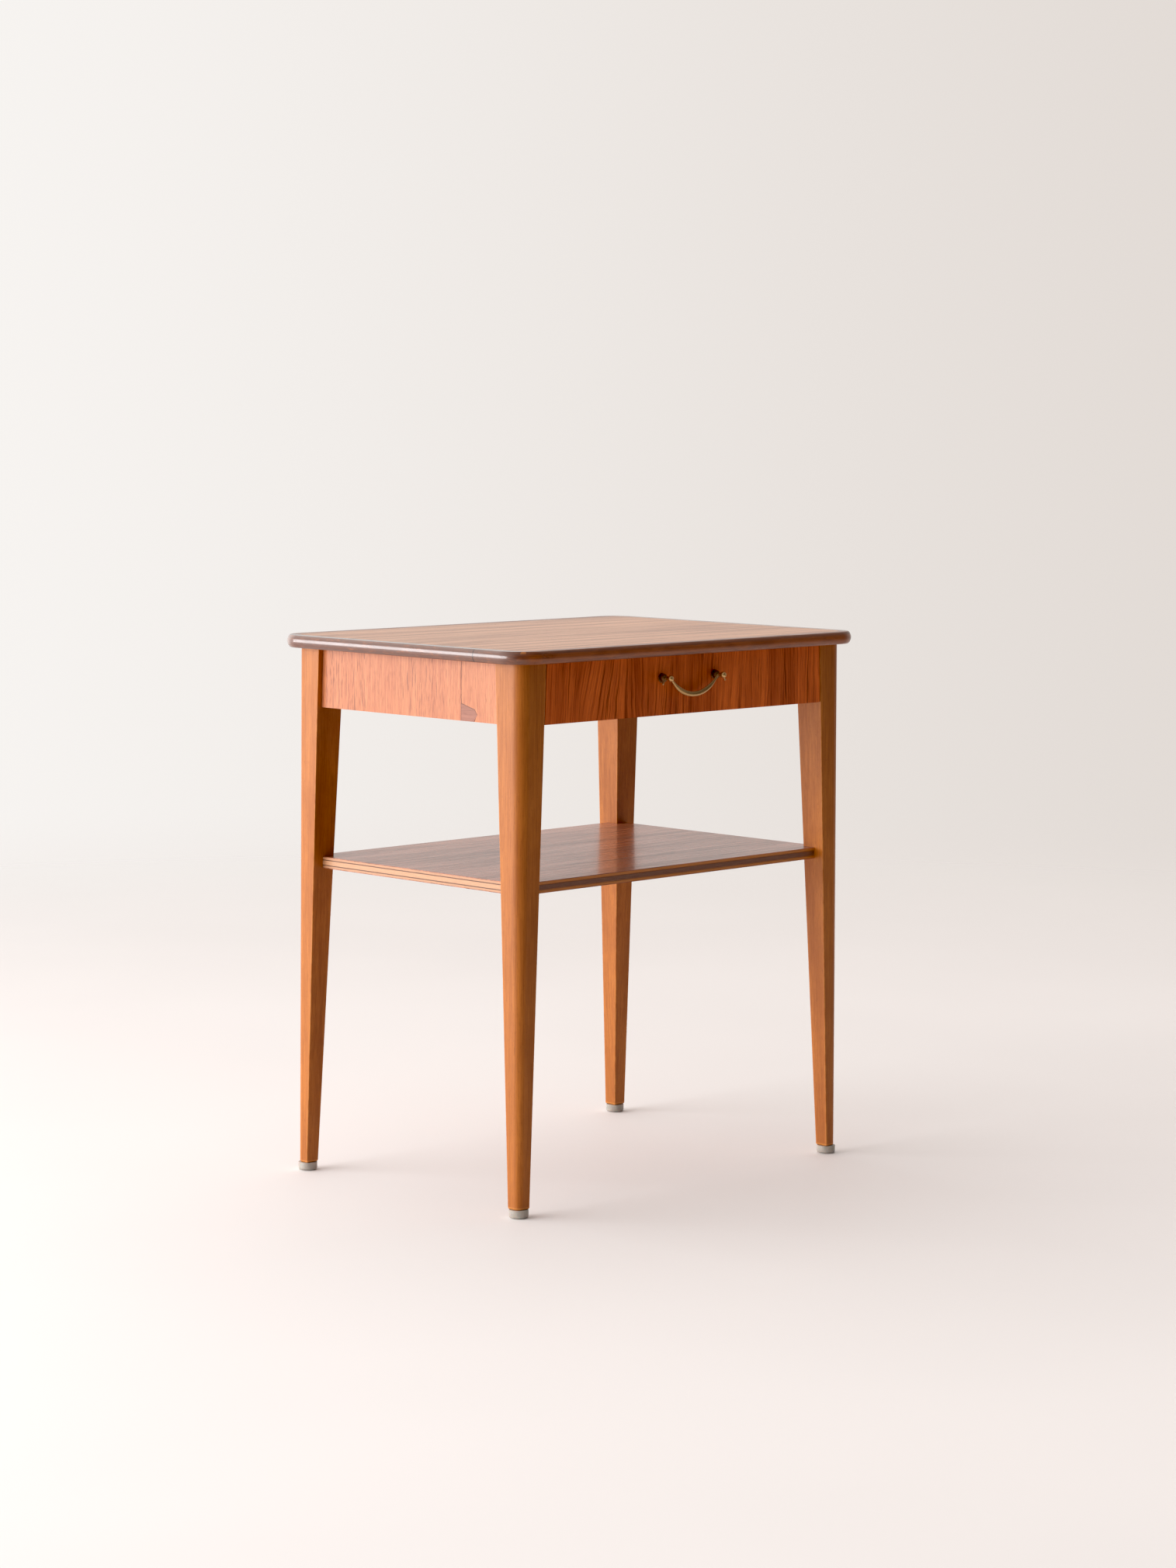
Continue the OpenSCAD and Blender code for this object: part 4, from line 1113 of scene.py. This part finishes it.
class TABLE_OT_handle(Piece, bpy.types.Operator):
    """Turn the two posts, sweep the bail and set the washers and nuts"""

    bl_idname = "table.handle"
    bl_label = "Bail Handle"

    def build(self, sizes, colours):
        brass = self.brass(colours)
        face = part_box("drawer_front_veneer")[0].y
        for side in ("left", "right"):
            lo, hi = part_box("handle_post_" + side)
            self.post(sizes, brass, "turned_post_" + side, "handle_post_" + side, lo, hi, face)
        self.bail(sizes, brass)
        steel = dull_steel(colours)
        for node, name in (("handle_washers", "washers"), ("handle_nuts", "hex_nuts")):
            boxes = solids(node)
            long = boxes[0][1].y - boxes[0][0].y
            if node == "handle_washers":
                model = lathe([(0.00205, 0.0), (0.0044, 0.0), (0.0045, 0.0001), (0.0045, long - 0.0001),
                    (0.0044, long), (0.00205, long)], 48, True)
            else:
                r = 0.00404
                prism = loft([[(r * math.cos(t), r * math.sin(t), z) for t in np.radians(range(0, 360, 60))]
                    for z in (0.0, long)])
                round_off = lathe([(0, -0.0001), (r * 0.88, -0.0001), (r * 1.02, 0.0006),
                    (r * 1.02, long - 0.0006), (r * 0.88, long + 0.0001), (0, long + 0.0001)], 48)
                model = cut(cut(prism, round_off, how="INTERSECT"),
                    rod((0, 0, -0.001), (0, 0, long + 0.001), 0.00193, 32))
            spots = [((middle(b).x, b[0].y, middle(b).z), (0, 1, 0)) for b in boxes]
            piece(name, smoothed(copies(model, spots, steel, 0.0, 1)), steel, "steel", "drawer", node)

    def post(self, sizes, brass, name, node, lo, hi, face):
        out, reach = face - lo.y, hi.y - face
        ball_at = out - sizes.ball + 0.00015
        c = middle((lo, hi))
        flange, bulb_at, shank = 0.0013, 0.003, SHANK_R
        p = [(0.0, -reach), (shank - 0.0004, -reach), (shank, -reach + 0.0004)]
        for i in range(9):  # the thread under the nut
            p += [(shank, -reach + 0.0004 + 0.0006 * i + 0.0003),
                (shank - 0.00022, -reach + 0.0004 + 0.0006 * i + 0.0006)]
        p += [(shank, -reach + 0.0062), (shank, 0.0), (sizes.boss - 0.0002, 0.0), (sizes.boss, 0.0002)]
        p += [(r, z) for z, r in arc((flange - 0.0005, sizes.boss - 0.0005), 0.0005, 90, 0, 5)]
        start = math.degrees(math.acos((flange - bulb_at) / sizes.bulb))
        end = math.degrees(math.asin(sizes.neck / sizes.bulb))
        p += [(r, z) for z, r in arc((bulb_at, 0.0), sizes.bulb, start, end, 16)]
        meet = math.sqrt(sizes.ball ** 2 - sizes.neck ** 2)
        p += [(sizes.neck, ball_at - meet - 0.0003)]
        dimple = math.degrees(math.asin(0.00098 / sizes.ball))
        p += [(r, z) for z, r in arc((ball_at, 0.0), sizes.ball,
            180 - math.degrees(math.asin(sizes.neck / sizes.ball)), dimple, 22)]
        tip = p[-1][1]
        p += [(0.0007, tip - 0.00022), (0.00035, tip - 0.0004), (0.0, tip - 0.00045)]
        mesh = lathe(p, 56)
        mesh.transform(Matrix.Translation((c.x, face, c.z)) @ Matrix.Rotation(math.radians(90), 4, "X"))
        y = face - 0.009
        mesh = cut(mesh, rod((c.x - 0.006, y, c.z), (c.x + 0.006, y, c.z), BORE_R, 32))
        piece(name, smoothed(mesh, 38), brass, "brass", "drawer", node)

    def bail(self, sizes, brass):
        """From one turned-down tail through its post, round the drop and out through the other post."""
        lo_l, hi_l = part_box("handle_post_left")
        lo_r, hi_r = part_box("handle_post_right")
        pivot = frame["record"]["behaviour"]["joints"][1]["pos_m"]
        half_pitch = (middle((lo_r, hi_r)).x - middle((lo_l, hi_l)).x) / 2
        out, half = half_pitch + sizes.neck + 0.0017, half_pitch - sizes.neck - 0.0025
        R = (half ** 2 + sizes.bail_drop ** 2) / (2 * sizes.bail_drop)
        top = math.degrees(math.asin(half / R))
        rod_r, tip_r, tail = sizes.bail_rod, 0.00115, 0.0064
        rows = []  # x, z, width, thickness on one half, from the tail's tip inwards
        down = Vector((math.sin(math.radians(30)), -math.cos(math.radians(30))))
        for t in np.linspace(-0.999, 0.70, 9):
            rows.append((out + down.x * (tail - t * tip_r), down.y * (tail - t * tip_r),
                *([2 * tip_r * math.sqrt(1 - t * t)] * 2)))
        for t in (0.80, 0.55, 0.3):
            rows.append((out + down.x * tail * t, down.y * tail * t, 2 * rod_r, 2 * rod_r))
        bend = 0.0011
        for t in np.linspace(0, 1, 6):
            a, b, m = Vector((out, 0)) + down * bend, Vector((out - bend, 0)), Vector((out, 0))
            q = a.lerp(m, t).lerp(m.lerp(b, t), t)
            rows.append((q.x, q.y, 2 * rod_r, 2 * rod_r))
        rows.append((half + 0.0022, 0.0, 2 * rod_r, 2 * rod_r))
        rows.append((half + 0.0013, 0.0, 2 * rod_r + 0.0002, 2 * rod_r + 0.0002))
        rows.append((half + 0.0008, -0.00002, 0.0024, 0.0024))
        rows.append((half + 0.0001, -0.0002, 0.0028, 0.0028))
        for a in np.concatenate([np.linspace(top - 2.2, 24, 15), np.linspace(22, 0, 12)]):
            grow = min(1.0, max(0.0, (top - 4 - a) / 24))
            grow = grow * grow * (3 - 2 * grow)
            rows.append((R * math.sin(math.radians(a)), -sizes.bail_drop + R * (1 - math.cos(math.radians(a))),
                         0.0026 + (sizes.bail_width - 0.0026) * grow,
                         0.0026 + (sizes.bail_thick - 0.0026) * grow))
        full = [(-x, z, w, t) for x, z, w, t in rows] + rows[::-1][1:]
        line = np.array([(x, z) for x, z, _, _ in full])
        slope = np.gradient(line, axis=0)
        slope /= np.linalg.norm(slope, axis=1)[:, None]
        path = []
        for (x, z, w, t), (dx, dz) in zip(full, slope):
            path.append(((x, pivot[1], pivot[2] + z), (-dz * w / sizes.bail_width, 0.0,
                dx * w / sizes.bail_width), (0.0, -t / sizes.bail_thick, 0.0)))
        profile = []
        for a in np.linspace(-90, 270, 44, endpoint=False):
            c, s = on_circle(a)
            groove = 0.085 * math.exp(-((a - 74) / 13) ** 2)
            profile.append((0.5 * c * (1 - groove), 0.5 * s * (1 - 1.6 * groove)))
        mesh = swept(path, profile, sizes.bail_width, sizes.bail_thick, brass)
        piece("swinging_bail", smoothed(mesh, 60), brass, "brass", "bail", "handle_bail")

    def brass(self, colours):
        f = Finish("brass_finish", Metallic=1.0, Coat_Weight=0.15, Coat_Roughness=0.3)
        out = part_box("drawer_front_veneer")[0].y - f.y
        cloud = f.spread((420.0, 420.0, 420.0), 211.0, 3.0, 0.6)
        spot = f.spread((1900.0, 1900.0, 1900.0), 217.0, 3.0, 0.65)
        worn = f.ease(out, 0.0055, 0.0095) * 0.8 + f.ease(out, 0.0120, 0.0150) * 0.35
        share = (worn + (cloud - 0.5) * 0.6 + (spot - 0.5) * 0.25).most(0.0).least(1.0)
        tone = f.mix(share, colours.brass_dark, colours.brass_bright)
        return f.feed(Base_Color=tone, Roughness=0.46 - 0.16 * share + 0.12 * spot, height=spot * 0.00003)


class TABLE_OT_screws(Piece, bpy.types.Operator):
    """Set the slotted screws of the top, the runners and the drawer bottom"""

    bl_idname = "table.screws"
    bl_label = "Screws"

    def build(self, sizes, colours):
        steel = dull_steel(colours)
        for node, body, seed in (("top_screws", "frame", 21), ("runner_screws", "frame", 22),
                ("bottom_screws", "drawer", 23)):
            boxes = solids(node)
            way = longest(boxes[0])
            long = boxes[0][1][way] - boxes[0][0][way]
            spots = []
            for b in boxes:
                sign = 1.0 if way == 2 or middle(b)[way] > 0 else -1.0
                start, turn = middle(b), Vector((0, 0, 0))
                start[way], turn[way] = (b[0] if sign > 0 else b[1])[way], sign
                spots.append((tuple(start), tuple(turn)))
            piece("slotted_" + node, smoothed(copies(self.model(long), spots, steel, HALF_SPIN, seed)), steel,
                "steel", body, node)

    def model(self, long):
        """A countersunk wood screw, its head at the origin and its point along +Z."""
        p = [(0, 0), (0.0033, 0.0), (0.0035, 0.00012), (0.00345, 0.0003), (0.0016, 0.0022),
            (0.0015, long * 0.42)]
        z = long * 0.42 + 0.0006
        while z < long - 0.0032:
            p += [(0.0016, z), (0.0012, z + 0.0005)]
            z += 0.0011
        p += [(0.0011, long - 0.0026), (0.0003, long - 0.0002), (0, long)]
        return cut(lathe(p, 32), block((-0.004, -0.00045, -0.001), (0.004, 0.00045, 0.0009)))


class TABLE_OT_stage(bpy.types.Operator):
    """Set up the floor, the room's light, the window light and the camera"""

    bl_idname = "table.stage"
    bl_label = "Stage"
    bl_options = {"REGISTER", "UNDO"}

    def execute(self, context):
        s = context.scene.table_stage
        self.floor(s)
        self.room(context.scene, s)
        self.camera(context.scene, s)
        return {"FINISHED"}

    def floor(self, s):
        reach = 3.6
        mesh = bpy.data.meshes.new("floor")
        mesh.from_pydata([(-reach, -reach, 0), (reach, -reach, 0), (reach, reach, 0), (-reach, reach, 0)], [],
            [(0, 1, 2, 3)])
        f = Finish("floor_finish", Specular_IOR_Level=0.2)
        far = f.ease((f.x * f.x + f.y * f.y) ** 0.5, 1.0, 3.5, 1.0, 0.0)
        cloud = f.spread((1.6, 1.6, 1.6), 1.0, 2.0, 0.5)
        tone = f.mix(f.ease(cloud, 0.3, 0.7), s.floor, shade(s.floor, 0.975))
        f.feed(Base_Color=tone, Roughness=0.6 + 0.1 * cloud, Alpha=far)
        mesh.materials.append(f.material)
        loose(mesh, "floor")

    def room(self, scene, s):
        world = bpy.data.worlds.new("room")
        scene.world = world
        world.use_nodes = True
        world.node_tree.nodes.clear()
        g = Graph(world.node_tree)
        way = g.node("ShaderNodeTexCoord", out=0)
        x, y, z = (g.node("ShaderNodeSeparateXYZ", sockets={0: way}, out=i) for i in range(3))
        ahead, left = (x + y) * 0.7071, (y - x) * 0.7071
        # bright beyond the table and on the window's side, dim behind the viewer
        side = g.ease(left, -0.25, 0.25)
        lit = 0.07 + (0.66 + 0.16 * side) * g.ease(ahead, 0.0, 0.7) + 1.25 * g.ease(left, 0.1,
            0.85) + 0.58 * g.ease(z, 0.25, 0.95) * g.ease(left, -0.9, 0.1, 0.25, 1.0)
        shown = 0.75 + 0.20 * side
        seen = g.node("ShaderNodeLightPath", out=0)
        tone = g.mix(side, tuple(c * k for c, k in zip(s.backdrop, (1.0, 0.95, 0.92))), s.backdrop)
        room = g.node("ShaderNodeBackground", sockets={"Color": tone, "Strength": lit + seen * (shown - lit)})
        g.node("ShaderNodeOutputWorld", sockets={"Surface": room})
        view = scene.view_settings
        view.view_transform = "Standard"
        view.use_curve_mapping = True
        view.curve_mapping.black_level = (s.black,) * 3
        view.curve_mapping.update()
        self.light("window", s.window, (s.window_size, s.window_height), (-2.72, 1.5, 0.85), (0.0, 0.0, 0.40),
            (0.97, 0.98, 1.0))

    def light(self, name, power, sides, place, aim, tint):
        lamp = bpy.data.lights.new(name, "AREA")
        lamp.energy, lamp.shape, lamp.color = power, "RECTANGLE", tint
        lamp.size, lamp.size_y = sides
        obj = bpy.data.objects.new(name, lamp)
        bpy.context.scene.collection.objects.link(obj)
        obj.location = place
        obj.rotation_mode = "QUATERNION"
        obj.rotation_quaternion = (Vector(aim) - Vector(place)).to_track_quat("-Z", "Y")
        obj.visible_camera = False

    def camera(self, scene, s):
        data = bpy.data.cameras.new("camera")
        data.sensor_fit, data.sensor_width, data.lens = "HORIZONTAL", 36.0, s.lens
        data.clip_start, data.clip_end = 0.05, 200.0
        obj = bpy.data.objects.new("camera", data)
        scene.collection.objects.link(obj)
        t, d, r = s.camera_turn, s.camera_tilt, s.camera_roll
        ahead = Vector((math.sin(t) * math.cos(d), math.cos(t) * math.cos(d), -math.sin(d)))
        right = ahead.cross(Vector((0, 0, 1))).normalized()
        up = right.cross(ahead)
        right, up = right * math.cos(r) + up * math.sin(r), up * math.cos(r) - right * math.sin(r)
        turn = Matrix((right, up, -ahead)).transposed().to_4x4()
        obj.matrix_world = Matrix.Translation(s.camera_place) @ turn
        scene.camera = obj


class TABLE_PT_panel(bpy.types.Panel):
    """Side panel that lists the settings and the pieces"""

    bl_idname = "TABLE_PT_panel"
    bl_label = "Side Table"
    bl_space_type = "VIEW_3D"
    bl_region_type = "UI"
    bl_category = "Side Table"

    def draw(self, context):
        for label, group in (("Sizes", context.scene.table_sizes), ("Colours", context.scene.table_colours),
                ("Stage", context.scene.table_stage)):
            box = self.layout.box()
            box.label(text=label)
            for key in group.__annotations__:
                box.prop(group, key)
        for operator in OPERATORS:
            self.layout.operator(operator.bl_idname)


GROUPS = (("table_sizes", TableSizes), ("table_colours", TableColours), ("table_stage", StageSettings))
OPERATORS = (TABLE_OT_stage, TABLE_OT_trees, TABLE_OT_top, TABLE_OT_lipping, TABLE_OT_legs, TABLE_OT_glides,
    TABLE_OT_aprons, TABLE_OT_rails, TABLE_OT_shelf, TABLE_OT_drawer, TABLE_OT_handle, TABLE_OT_screws)


def register():
    for key, group in GROUPS:
        bpy.utils.register_class(group)
        setattr(bpy.types.Scene, key, PointerProperty(type=group))
    for cls in (*OPERATORS, TABLE_PT_panel):
        bpy.utils.register_class(cls)


def unregister():
    for cls in (TABLE_PT_panel, *reversed(OPERATORS)):
        bpy.utils.unregister_class(cls)
    for key, group in reversed(GROUPS):
        delattr(bpy.types.Scene, key)
        bpy.utils.unregister_class(group)


def main():
    """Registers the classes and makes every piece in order."""
    register()
    for operator in OPERATORS:
        family, name = operator.bl_idname.split(".")
        getattr(getattr(bpy.ops, family), name)()


if __name__ == "__main__":
    main()
